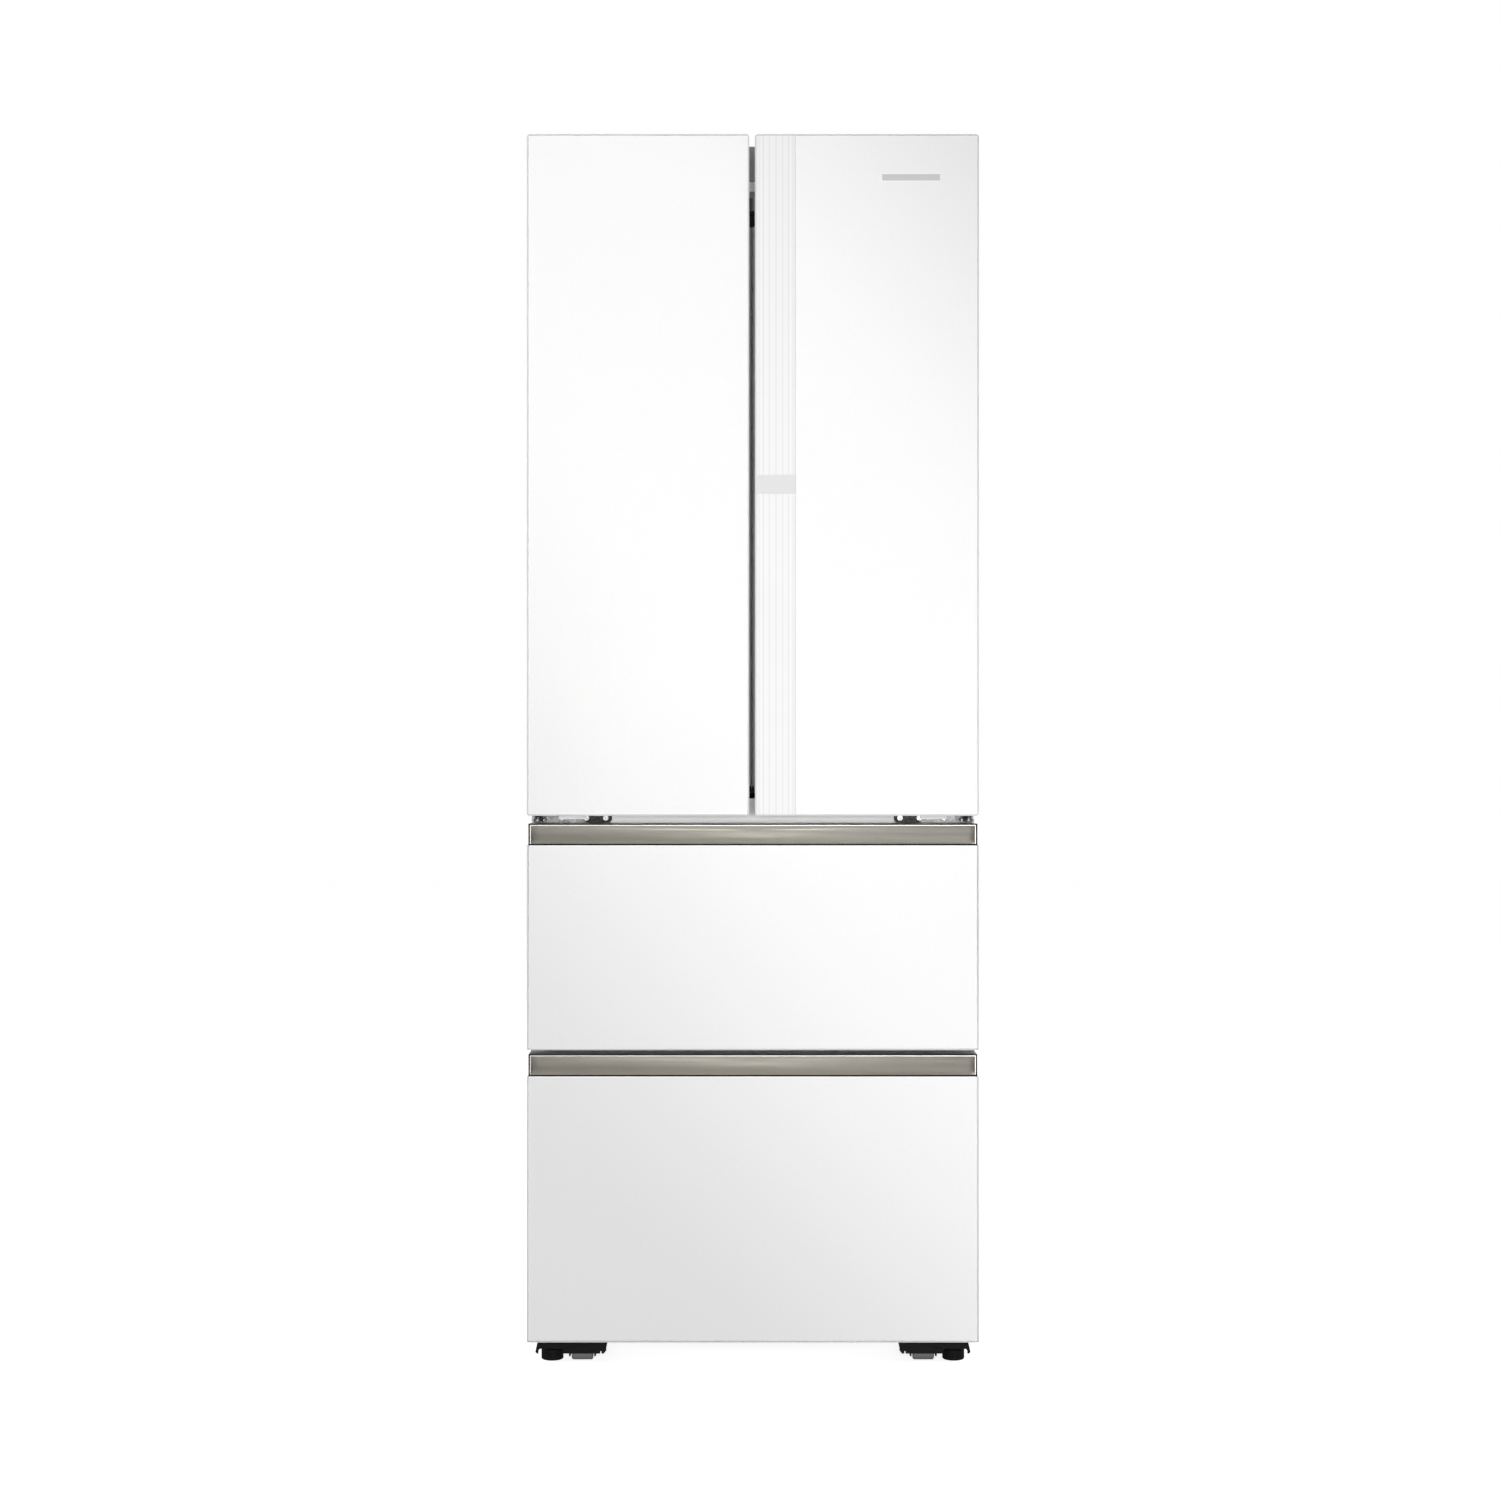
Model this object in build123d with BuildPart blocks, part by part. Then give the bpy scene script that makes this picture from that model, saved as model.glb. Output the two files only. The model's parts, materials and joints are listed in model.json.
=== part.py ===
"""French door refrigerator: two hinged glass doors above two glass-fronted drawers.

x runs to the right, y to the back and z up, in millimetres.
The origin is on the floor, under the middle of the refrigerator.
"""

from build123d import *
import os
from math import radians, sin

os.makedirs("parts", exist_ok=True)

# ---- Directions -------------------------------------------------------------------
RIGHTWARD = (1, 0, 0)
LEFTWARD = (-1, 0, 0)
REARWARD = (0, 1, 0)
FORWARD = (0, -1, 0)
UP = (0, 0, 1)
DOWN = (0, 0, -1)

# ---- Overall size -----------------------------------------------------------------
WIDTH = 700.0
HEIGHT = 1910.0
DEPTH = 676.0
SIDE = WIDTH / 2
FRONT = -DEPTH / 2
BACK = DEPTH / 2

# ---- Fronts: glass panels in rim frames -------------------------------------------
PANEL = 60.0  # thickness of a door or a drawer front
GLASS = 4.0
RIM = 2.1  # visible width of a frame's rim, and its wall
LEDGE = 12.0  # width of the ledge that the glass is bonded to
LINING = 3.0  # sheet that closes a front's back
CORNER = 4.6
LEDGE_BACK = FRONT + 2 * GLASS
PANEL_BACK = FRONT + PANEL
LINING_FRONT = PANEL_BACK - LINING
DOOR_BOTTOM = 854.5
LEFT_DOOR_EDGE = -5.7
RIGHT_DOOR_EDGE = 3.1
COLUMN_EDGE = 66.4  # right edge of the ribbed column

# ---- Drawer fronts: panel bottom, glass top, handle top ---------------------------
MIDDLE_FRONT = (491.6, 808.8, 842.1)
LOWER_FRONT = (39.0, 450.9, 484.9)
GRIP_LIP = 4.0  # the handle's top lip, behind the glass face
GRIP_DEPTH = 24.0
GRIP_BACK = 26.0
GRIP_DROP = 8.0  # the finger groove's floor, under the glass's top edge
HANDLE_INSET = 2.1

# ---- Cabinet ----------------------------------------------------------------------
CASE_HALF = 348.0
CASE_FRONT = -268.0
CASE_TOP = 1880.0
BASE = 58.0
SHEET = 1.0
RAIL_SHEET = 1.5
RAIL_DEPTH = 18.0
OPENING = 290.0  # half width of a compartment
LINER = 2.0
LINER_BACK = 260.0
UPPER = (880.0, 1836.0)  # floor and ceiling of each compartment
MIDDLE = (520.0, 815.0)
LOWER = (115.0, 455.0)
STEP_FLOOR = 345.0  # raised floor of the lower compartment, over the compressor bay
STEP_Y = 20.0
BAY_TOP = 298.0
BAY_FRONT = 60.0
FOAM_BACK = BACK - 2.0
RAIL_UNDER = (BASE, LOWER[0] - LINER)
RAIL_BETWEEN = (LOWER[1] + LINER, MIDDLE[0] - LINER)
RAIL_ABOVE = (MIDDLE[1] + LINER, UPPER[0] - LINER)
CROSSRAILS = (RAIL_UNDER, RAIL_BETWEEN, RAIL_ABOVE)
BEAD = (22.0, 1.1)  # width and depth of a stiffening bead in the rear panel
BEAD_PITCH = 120

# ---- Gaskets ----------------------------------------------------------------------
SEAL_EDGE = 334.0
SEAL = 16.0
SEAL_BASE = 4.0
SEAL_STEP = 3.0  # how far the bulb stands in from the base
SEAL_Z = (859.0, 1862.0)
SEAL_FACE = CASE_FRONT - 0.5

# ---- Door hinges ------------------------------------------------------------------
HINGE_X = 336.0
HINGE_Y = -308.0
PIN = 4.0
BORE = 4.05
TOP_PIN_Z = (1864.0, CASE_TOP + 2.0)
LOW_PIN_LENGTH = 22.0
LOW_BORE_DEPTH = 16.0
HINGE_BLOCK_X = 300.0  # inner side of the block around the lower pin
HINGE_BLOCK_Z = (886.0, 1846.0)  # the lower block's top and the upper block's underside
POCKET_FLOOR = 1878.0
POCKET_WALL = 288.0
ARM = 4.0
TOP_ARM = (CASE_TOP, CASE_TOP + ARM)
LOW_ARM = (845.0, 845.0 + ARM)
ARM_X = (325.0, 345.0)
EYE = 9.0  # radius of an arm's round end
COLLAR = (7.0, 5.0)  # radius and height of the spacer under the door
TOP_PLATE_Y = -205.0
BRACKET = 3.0
BRACKET_X = 222.0
BRACKET_Z = (842.0, 857.0)
BRACKET_CORNER = 6.0
BRACKET_SCREW_X = (231.5, 262.0, 300.0)
BRACKET_SCREW_Z = 849.5
TOP_SCREW_Y = (-250.0, -220.0)
TOP_SCREW_X = 312.0
SCREW = 2.5
SCREW_HEAD = 2.2  # height of a screw's head
SCREW_CROSS = (0.9, 1.6)  # width of a drive slot, and twice its depth

# ---- Inner door parts -------------------------------------------------------------
DIKE = (52.0, 284.0)  # the liner's raised rib, from the middle outwards
DIKE_WALL = 20.0
DIKE_BACK = -240.0
DIKE_Z = (886.0, 1830.0)
DIKE_CORNERS = (14.0, 8.0, 4.0)  # outer, inner and crown radii
BIN_BACK = -165.0
BIN_FLOORS = (932.0, 1236.0, 1536.0)
BIN_HEIGHT = 112.0
NAMEPLATE_X = (200.0, 290.0)
NAMEPLATE_Z = (1838.0, 1848.0)
NAMEPLATE = 0.8  # thickness
BADGE_X = (5.6, 66.0)
BADGE_Z = (1353.4, 1382.5)
BADGE = 1.2
COLUMN_STEP = 0.4  # the ribbed column's face lies this far behind the glass
GROOVE = 0.7  # width and depth of a groove in the column
GROOVE_TURN = 20.5  # degrees round the half circle from one groove to the next

# ---- Centre beam ------------------------------------------------------------------
BEAM_X = -34.0
BEAM_Y = -256.5
BEAM_R = 11.0
BEAM_EDGE = -2.0
BEAM_Z = (900.0, 1780.0)
BEAM_PIN = 3.0
HANGER = 8.0  # thickness of the beam's hangers on the left door
FOLLOWER_X = -14.0
FOLLOWER_LENGTH = 38.0
GUIDE_X = (-44.0, 40.0)
GUIDE_Y = (-266.0, -226.0)
GUIDE_Z = 1806.0
GUIDE_SLOT = 20.0  # depth of the slot for the follower pin
LIP_FACE = -252.0  # where the right gasket's lip meets the beam

# ---- Interior ---------------------------------------------------------------------
SHELF_Z = (1085.0, 1290.0, 1480.0, 1662.0)
SHELF_FRONT = -143.0
SHELF_BACK = 238.0
SHELF_GLASS = 5.0
LEDGE_HEIGHT = 7.0
CRISPER_X = (4.0, 284.0)
CRISPER_TOP = 1066.0
CRISPER_WALL = 3.0
CRISPER_GRIP_X = (60.0, 228.0)
CRISPER_GRIP_Z = (1046.0, 1050.0)
DUCT_HALF = 130.0
DUCT_Y = (244.0, LINER_BACK)
DUCT_TOP = 1826.0
DUCT_WALL = 2.5
VENT = (52.0, 7.0)  # length and height of an air vent
VENT_Z = (1190.0, 1390.0, 1580.0, 1750.0)
VENT_PITCH = 86.0
LIGHT_HALF = 110.0
LIGHT_Y = (-150.0, -70.0)
LIGHT_HEIGHT = 10.0

# ---- Drawers and slides -----------------------------------------------------------
SLIDE_FRONT = -262.0
SLIDE_BACK = 180.0
MIDDLE_SLIDE_Z = 640.0
LOWER_SLIDE_Z = 392.0
LIP = 3.0  # how far a slide member's lips turn in
FIXED_MEMBER = (OPENING, 279.0, 22.5)  # web, tip and half height of a slide member
STAGE_MEMBER = (287.5, 274.5, 17.5)
MOVING_MEMBER = (270.0, 284.5, 12.5)
TUB_HALF = 270.0
TUB_BACK = 176.0
TUB_WALL = 2.5
MIDDLE_TUB_Z = (532.0, 784.0)
LOWER_TUB_Z = (126.0, 436.0)
TUB_STEP = (8.0, 356.0)  # y and z of the step over the compressor bay
TUB_CORNER = 10.0
MIDDLE_SEAL_Z = (496.0, 834.0)
LOWER_SEAL_Z = (88.0, 476.0)

# ---- Top trim ---------------------------------------------------------------------
TRIM_WALL = 2.5
TRIM_BACK = -186.0
TRIM_ARM_X = 298.0  # the trim is open over the hinge arms from here outwards
TONGUE_X = (-8.2, 5.7)  # the trim's tongue, between the two gaskets
TONGUE_Z = 1851.0
TONGUE = 2.0

# ---- Cooling ----------------------------------------------------------------------
EVAPORATOR_COVER_Y = 188.0
COVER_HALF = 272.0
COVER_SHEET = 3.0
EVAPORATOR_FAN = (0.0, 222.0, 756.0)
FAN_GRILLE = 48.0
GRILLE_RINGS = (45.0, 30.0, 15.0)
GRILLE_BAR = 3.0
CONDENSER_FAN = (-30.0, 225.0, 165.0)
FAN_HUB = (13.0, 16.0)  # radius and length
FAN_BLADE = (34.0, 20.0, 1.6)
FAN_BLADES = 7
BLADE_RADIUS = 27.0  # to the middle of a blade
BLADE_PITCH = 34.0
FAN_SHAFT = 2.5
SHAFT_LENGTH = 25.0
COIL_MARGIN = 11.0
COIL_END = 15.0
FIN = 1.0
TUBE_PITCH = 28.0
COMPRESSOR = (-190.0, 200.0)
COMPRESSOR_R = 70.0
COMPRESSOR_Z = (BASE + 12.0, BASE + 166.0)
COMPRESSOR_CROWN = 40.0
COMPRESSOR_FOOT = (80.0, 42.0)
FOOT_PLATE = (92.0, 55.0)  # half sizes of the compressor's plate
INLET = (250.0, 230.0)
INLET_R = 14.0
CABLE_BORE = 4.2
COVER_VENT = (62.0, 6.0)
COVER_VENT_PITCH = (80.0, 20.0)
COVER_VENTS = (5, 9)
COVER_VENT_CENTRE = (-70.0, 176.0)
PAN_X = (90.0, 330.0)
PAN_Y = (90.0, 320.0)
PAN_TOP = 92.0

# ---- Feet and rollers -------------------------------------------------------------
FOOT_X = 315.0
FOOT_Y = -276.0
FOOT_R = 17.25
FOOT_HEIGHT = 18.0
KNURLS = 40
KNURL = 0.7
STEM = 5.0
ROLLER_X = 267.0
ROLLER_Y = -284.0
ROLLER_R = 15.0
ROLLER_HALF = 16.5
ROLLER_Z = 15.5
AXLE = 3.0
AXLE_X = (241.5, 288.0)
EARS = (246.0, 285.5)
EAR_Y = (-293.0, -275.0)
EAR_BOTTOM = 7.0
STAMPED = 2.5  # sheet of the front brackets
BRACKET_FRONT = -303.0
BRACKET_BACK = -190.0
APRON_X = (229.0, 335.5)
APRON_Z = (13.5, 36.0)
APRON_TOE = (340.0, 16.0)  # the apron's outer side leans out to here
ARCH_X = (297.0, 335.0)  # the apron is cut away around the levelling foot
ARCH_TOP = 21.0
SLIT_X = (236.5, 238.5)
POSTS = (243.0, 292.0, 330.0)
POST = 3.0
POST_FRONT = -262.0
REAR_WHEEL_R = 20.0
REAR_WHEEL_X = 299.0
REAR_WHEEL_HALF = 14.0
REAR_SHAFT = 5.0
REAR_Y = 300.0
FORKS = (276.0, 318.0)
FORK_HALF = 22.0
FORK_BOTTOM = 12.0


def block(x, y, z, mode=Mode.ADD):
    """A box between two values on each axis, in the part being built."""
    middle = tuple((first + last) / 2 for first, last in (x, y, z))
    size = [abs(last - first) for first, last in (x, y, z)]
    with Locations(middle):
        Box(*size, mode=mode)


def rod(start, direction, radius, length, mode=Mode.ADD):
    """A round bar or, with Mode.SUBTRACT, a round hole, from a point along a direction."""
    with Locations(Plane(origin=start, z_dir=direction)):
        Cylinder(radius, length, align=(Align.CENTER, Align.CENTER, Align.MIN), mode=mode)


def facing(y):
    """A plane that faces the front at depth y, with its own x and y along x and z."""
    return Plane.XZ.offset(-y)


def save(piece, node):
    """Label a finished piece and write its STEP file."""
    piece.part.label = node
    export_step(piece.part, f"parts/{node}.step")


def middle_of(span):
    return (span[0] + span[1]) / 2


# ---- Doors ------------------------------------------------------------------------


def make_door_frame(node, side, x):
    """Rim frame of a door: outer walls, glass ledge and hinge blocks with their bores."""
    z = (DOOR_BOTTOM, HEIGHT)
    centre = (middle_of(x), middle_of(z))
    width = x[1] - x[0]
    height = z[1] - z[0]
    with BuildPart() as frame:
        with BuildSketch(facing(FRONT)):
            with Locations(centre):
                RectangleRounded(width, height, CORNER)
        extrude(amount=-PANEL)
        with BuildSketch(facing(FRONT)):
            with Locations(centre):
                RectangleRounded(width - 2 * RIM, height - 2 * RIM, CORNER - RIM)
        extrude(amount=-GLASS, mode=Mode.SUBTRACT)
        with BuildSketch(facing(FRONT)):
            with Locations(centre):
                Rectangle(width - 2 * LEDGE, height - 2 * LEDGE)
        extrude(amount=-PANEL, mode=Mode.SUBTRACT)
        with BuildSketch(facing(LEDGE_BACK)):
            with Locations(centre):
                Rectangle(width - 2 * RIM, height - 2 * RIM)
        extrude(amount=LEDGE_BACK - PANEL_BACK, mode=Mode.SUBTRACT)
        inner = side * (SIDE - RIM)
        depth = (LEDGE_BACK, LINING_FRONT)
        block((side * (POCKET_WALL - RIM), inner), depth, (HINGE_BLOCK_Z[1], HEIGHT - RIM))
        block((side * HINGE_BLOCK_X, inner), depth, (DOOR_BOTTOM + RIM, HINGE_BLOCK_Z[0]))
        pocket_x = (side * POCKET_WALL, side * (SIDE + 1))
        block(pocket_x, (LEDGE_BACK, PANEL_BACK + 1), (POCKET_FLOOR, HEIGHT + 1), Mode.SUBTRACT)
        pin_x = side * HINGE_X
        rod((pin_x, HINGE_Y, TOP_PIN_Z[0] - 2), UP, BORE, HEIGHT - TOP_PIN_Z[0], Mode.SUBTRACT)
        rod((pin_x, HINGE_Y, DOOR_BOTTOM - 1), UP, BORE, LOW_BORE_DEPTH, Mode.SUBTRACT)
    save(frame, node)


def make_door_core(node, side, x):
    """Foam block inside a door, behind the glass and around the hinge blocks."""
    z = (DOOR_BOTTOM + RIM, HEIGHT - RIM)
    low_x, high_x = x[0] + RIM, x[1] - RIM
    with BuildPart() as core:
        block((low_x, high_x), (LEDGE_BACK, LINING_FRONT), z)
        block(
            (x[0] + LEDGE, x[1] - LEDGE),
            (FRONT + GLASS, LEDGE_BACK),
            (DOOR_BOTTOM + LEDGE, HEIGHT - LEDGE),
        )
        corner = side * (SIDE + 1)
        depth = (LEDGE_BACK, LINING_FRONT)
        block((side * (POCKET_WALL - RIM), corner), depth, (HINGE_BLOCK_Z[1], HEIGHT), Mode.SUBTRACT)
        block((side * HINGE_BLOCK_X, corner), depth, (DOOR_BOTTOM, HINGE_BLOCK_Z[0]), Mode.SUBTRACT)
    save(core, node)


def make_door_liner(node, side, x):
    """Inner sheet of a door with its raised rib, ledges for the bins and, at left, beam hangers."""
    outer = (side * DIKE[0], side * DIKE[1])
    inner = (side * (DIKE[0] + DIKE_WALL), side * (DIKE[1] - DIKE_WALL))
    with BuildPart() as liner:
        block((x[0] + RIM, x[1] - RIM), (LINING_FRONT, PANEL_BACK), (DOOR_BOTTOM + RIM, HEIGHT - RIM))
        with BuildSketch(facing(PANEL_BACK)):
            with Locations((middle_of(outer), middle_of(DIKE_Z))):
                height = DIKE_Z[1] - DIKE_Z[0]
                RectangleRounded(DIKE[1] - DIKE[0], height, DIKE_CORNERS[0])
                inner_size = (abs(inner[1] - inner[0]), height - 2 * DIKE_WALL)
                RectangleRounded(*inner_size, DIKE_CORNERS[1], mode=Mode.SUBTRACT)
        extrude(amount=-(DIKE_BACK - PANEL_BACK))
        crown = liner.faces().sort_by(Axis.Y)[-1]
        fillet(crown.edges(), DIKE_CORNERS[2])
        cut_x = (side * POCKET_WALL, side * (SIDE + 1))
        block(cut_x, (LINING_FRONT - 1, PANEL_BACK + 1), (POCKET_FLOOR, HEIGHT), Mode.SUBTRACT)
        wall_x = (side * (POCKET_WALL - RIM), side * POCKET_WALL)
        block(wall_x, (LINING_FRONT, PANEL_BACK), (POCKET_FLOOR, HEIGHT - RIM))
        if side < 0:
            for low in (BEAM_Z[0] - HANGER - 6, BEAM_Z[1] + 6):
                hanger_y = (BEAM_Y - 9.5, BEAM_Y + 9.5)
                block((-DIKE[0] - 6, BEAM_X + 7), hanger_y, (low, low + HANGER))
                rod((BEAM_X, BEAM_Y, low - 1), UP, BEAM_PIN + 0.05, HANGER + 2, Mode.SUBTRACT)
    save(liner, node)


def seal_ring(x, z):
    """Build a gasket ring: a flat base and a softer bulb with a chamfered nose."""
    centre = (middle_of(x), middle_of(z))
    width = x[1] - x[0]
    height = z[1] - z[0]
    plane = facing(PANEL_BACK)
    with BuildPart() as ring:
        with BuildSketch(plane):
            with Locations(centre):
                RectangleRounded(width, height, 5)
                RectangleRounded(width - 2 * SEAL, height - 2 * SEAL, 3, mode=Mode.SUBTRACT)
        extrude(amount=-SEAL_BASE)
        with BuildSketch(plane.offset(-SEAL_BASE)):
            with Locations(centre):
                RectangleRounded(width - 2 * SEAL_STEP, height - 2 * SEAL_STEP, 4)
                bulb = 2 * (SEAL - SEAL_STEP)
                RectangleRounded(width - bulb, height - bulb, 4, mode=Mode.SUBTRACT)
        extrude(amount=-(SEAL_FACE - PANEL_BACK - SEAL_BASE))
        nose = ring.faces().sort_by(Axis.Y)[-1]
        chamfer(nose.edges(), SEAL_STEP / 2)
    return ring


def make_left_gasket():
    ring = seal_ring((-SEAL_EDGE, LEFT_DOOR_EDGE - 3.3), SEAL_Z)
    save(ring, "left_door_gasket")


def make_right_gasket():
    """The right door's gasket also has a lip that closes up to the centre beam."""
    ring = seal_ring((RIGHT_DOOR_EDGE + 3.4, SEAL_EDGE), SEAL_Z)
    root = (10, SEAL_FACE + 0.5)
    shoulder = (10, SEAL_FACE - 2.5)
    tip = (-0.6, SEAL_FACE - 2)
    with BuildPart() as gasket:
        add(ring.part)
        with BuildSketch(Plane.XY.offset(BEAM_Z[0])):
            with BuildLine():
                Polyline(shoulder, tip, (tip[0], root[1]), (1.1, LIP_FACE), (6, LIP_FACE), root, close=True)
            make_face()
        extrude(amount=BEAM_Z[1] - BEAM_Z[0])
    save(gasket, "right_door_gasket")


def make_bin_group(node, side):
    """Three open trays that hang between the liner's ribs."""
    x = (side * (DIKE[0] + DIKE_WALL), side * (DIKE[1] - DIKE_WALL))
    trays = []
    for floor in BIN_FLOORS:
        with BuildPart() as tray:
            block(x, (PANEL_BACK, BIN_BACK), (floor, floor + BIN_HEIGHT))
            back_edges = tray.edges().filter_by(Axis.Z).group_by(Axis.Y)[-1]
            fillet(back_edges, 14)
            offset(amount=-TUB_WALL, openings=tray.faces().sort_by(Axis.Z)[-1])
        trays.append(tray.part)
    with BuildPart() as bins:
        add(trays)
    save(bins, node)


def make_left_glass():
    """Bonded glass of the left door, with ground edges."""
    x = (-SIDE + RIM, LEFT_DOOR_EDGE - RIM)
    with BuildPart() as glass:
        with BuildSketch(facing(FRONT)):
            with Locations((middle_of(x), middle_of((DOOR_BOTTOM, HEIGHT)))):
                RectangleRounded(x[1] - x[0], HEIGHT - DOOR_BOTTOM - 2 * RIM, CORNER - RIM)
        extrude(amount=-GLASS)
        chamfer(glass.faces().sort_by(Axis.Y)[0].edges(), 0.6)
    save(glass, "left_door_glass")


def make_right_glass():
    """Bonded glass of the right door, beside the ribbed column, with a recess for the nameplate."""
    x = (COLUMN_EDGE + 0.2, SIDE - RIM)
    with BuildPart() as glass:
        with BuildSketch(facing(FRONT)):
            with Locations((middle_of(x), middle_of((DOOR_BOTTOM, HEIGHT)))):
                Rectangle(x[1] - x[0], HEIGHT - DOOR_BOTTOM - 2 * RIM)
        extrude(amount=-GLASS)
        outer_corners = glass.edges().filter_by(Axis.Y).group_by(Axis.X)[-1]
        fillet(outer_corners, CORNER - RIM)
        chamfer(glass.faces().sort_by(Axis.Y)[0].edges(), 0.6)
        block(NAMEPLATE_X, (FRONT, FRONT + NAMEPLATE), NAMEPLATE_Z, Mode.SUBTRACT)
    save(glass, "right_door_glass")


def make_column():
    """Ribbed column: shallow grooves that crowd towards both edges, as on a fluted half round."""
    x = (RIGHT_DOOR_EDGE + RIM, COLUMN_EDGE)
    z = (DOOR_BOTTOM + RIM, HEIGHT - RIM)
    half = (x[1] - x[0]) / 2
    face = FRONT + COLUMN_STEP
    with BuildPart() as column:
        block(x, (face, FRONT + GLASS), z)
        fillet(column.edges().filter_by(Axis.Y).group_by(Axis.X)[0], CORNER - RIM)
        for step in range(-4, 5):
            groove_x = middle_of(x) + (half - GROOVE) * sin(radians(GROOVE_TURN * step))
            groove = (groove_x - GROOVE / 2, groove_x + GROOVE / 2)
            block(groove, (face - 1, face + GROOVE), z, Mode.SUBTRACT)
        block(BADGE_X, (face - 1, FRONT + BADGE), BADGE_Z, Mode.SUBTRACT)
    save(column, "ribbed_column")


def make_badges():
    """Blank plates: one on the ribbed column and a slim one near the right door's top."""
    with BuildPart() as badges:
        block(BADGE_X, (FRONT, FRONT + BADGE), BADGE_Z)
        block(NAMEPLATE_X, (FRONT, FRONT + NAMEPLATE), NAMEPLATE_Z)
        chamfer(badges.faces().filter_by(Axis.Y).group_by(Axis.Y)[0].edges(), 0.25)
    save(badges, "blank_plates")


# ---- Centre beam ------------------------------------------------------------------


def make_beam():
    """Pivoting beam that closes the gap behind the doors, with its pivot and follower pins."""
    front = BEAM_Y - BEAM_R
    back = BEAM_Y + BEAM_R
    with BuildPart() as beam:
        with BuildSketch(Plane.XY.offset(BEAM_Z[0])):
            with Locations((BEAM_X, BEAM_Y)):
                Circle(BEAM_R)
            with BuildLine():
                far = ((BEAM_EDGE, front), (BEAM_EDGE - 3, back))
                Polyline((BEAM_X, front), *far, (BEAM_X, back), close=True)
            make_face()
        extrude(amount=BEAM_Z[1] - BEAM_Z[0])
        pivot = HANGER + 6
        rod((BEAM_X, BEAM_Y, BEAM_Z[0] - pivot), UP, BEAM_PIN, pivot)
        rod((BEAM_X, BEAM_Y, BEAM_Z[1]), UP, BEAM_PIN, pivot)
        rod((FOLLOWER_X, BEAM_Y, BEAM_Z[1]), UP, BEAM_PIN, FOLLOWER_LENGTH)
    save(beam, "centre_beam")


def make_beam_guide():
    """Block under the ceiling with a flared slot for the beam's follower pin."""
    mouth = GUIDE_Y[0] - 0.5
    with BuildPart() as guide:
        block(GUIDE_X, GUIDE_Y, (GUIDE_Z, UPPER[1]))
        with BuildSketch(Plane.XY.offset(GUIDE_Z)):
            with BuildLine():
                left = ((FOLLOWER_X - 5, -246), (FOLLOWER_X - 5, -258), (FOLLOWER_X - 9, mouth))
                right = ((FOLLOWER_X + 14, mouth), (FOLLOWER_X + 6, -256), (FOLLOWER_X + 5, -246))
                Polyline(*left, *right, close=True)
            make_face()
        extrude(amount=GUIDE_SLOT, mode=Mode.SUBTRACT)
    save(guide, "beam_guide")


# ---- Drawer fronts ----------------------------------------------------------------


def make_drawer_frame(node, levels):
    """Rim frame and back sheet of a drawer front, open at the front and along the finger groove."""
    bottom, glass_top, top = levels
    groove = glass_top - GRIP_DROP - 2
    inner = SIDE - RIM
    with BuildPart() as frame:
        block((-SIDE, SIDE), (FRONT, PANEL_BACK), (bottom, glass_top))
        block((-inner, inner), (FRONT + GRIP_BACK, PANEL_BACK), (glass_top, top))
        low_corners = frame.edges().filter_by(Axis.Y).group_by(Axis.Z)[0]
        fillet(low_corners, 1.6)
        block((-inner, inner), (FRONT - 1, FRONT + GLASS), (bottom + RIM, glass_top + 1), Mode.SUBTRACT)
        shelf = SIDE - LEDGE
        block((-shelf, shelf), (FRONT, LEDGE_BACK + 1), (bottom + LEDGE, glass_top + 1), Mode.SUBTRACT)
        block((-inner, inner), (LEDGE_BACK, LINING_FRONT), (bottom + RIM, groove), Mode.SUBTRACT)
        upper = inner - RIM
        hollow = (FRONT + GRIP_BACK - 1, LINING_FRONT)
        block((-upper, upper), hollow, (groove - 1, top - RIM), Mode.SUBTRACT)
        hand = (FRONT + GLASS, FRONT + GRIP_BACK)
        block((-SIDE - 1, SIDE + 1), hand, (groove, glass_top + 1), Mode.SUBTRACT)
    save(frame, node)


def make_drawer_core(node, levels):
    """Foam block inside a drawer front."""
    bottom, glass_top, top = levels
    groove = glass_top - GRIP_DROP - 2
    inner = SIDE - RIM
    with BuildPart() as core:
        block((-inner, inner), (LEDGE_BACK, LINING_FRONT), (bottom + RIM, groove))
        shelf = SIDE - LEDGE
        block((-shelf, shelf), (FRONT + GLASS, LEDGE_BACK), (bottom + LEDGE, groove))
        upper = inner - RIM
        block((-upper, upper), (FRONT + GRIP_BACK, LINING_FRONT), (groove, top - RIM))
    save(core, node)


def make_drawer_glass(node, levels):
    """Bonded glass of a drawer front; its polished top edge stands free in front of the groove."""
    bottom, glass_top, _ = levels
    inner = SIDE - RIM
    with BuildPart() as glass:
        block((-inner, inner), (FRONT, FRONT + GLASS), (bottom + RIM, glass_top))
        chamfer(glass.faces().sort_by(Axis.Y)[0].edges(), 0.6)
    save(glass, node)


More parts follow.
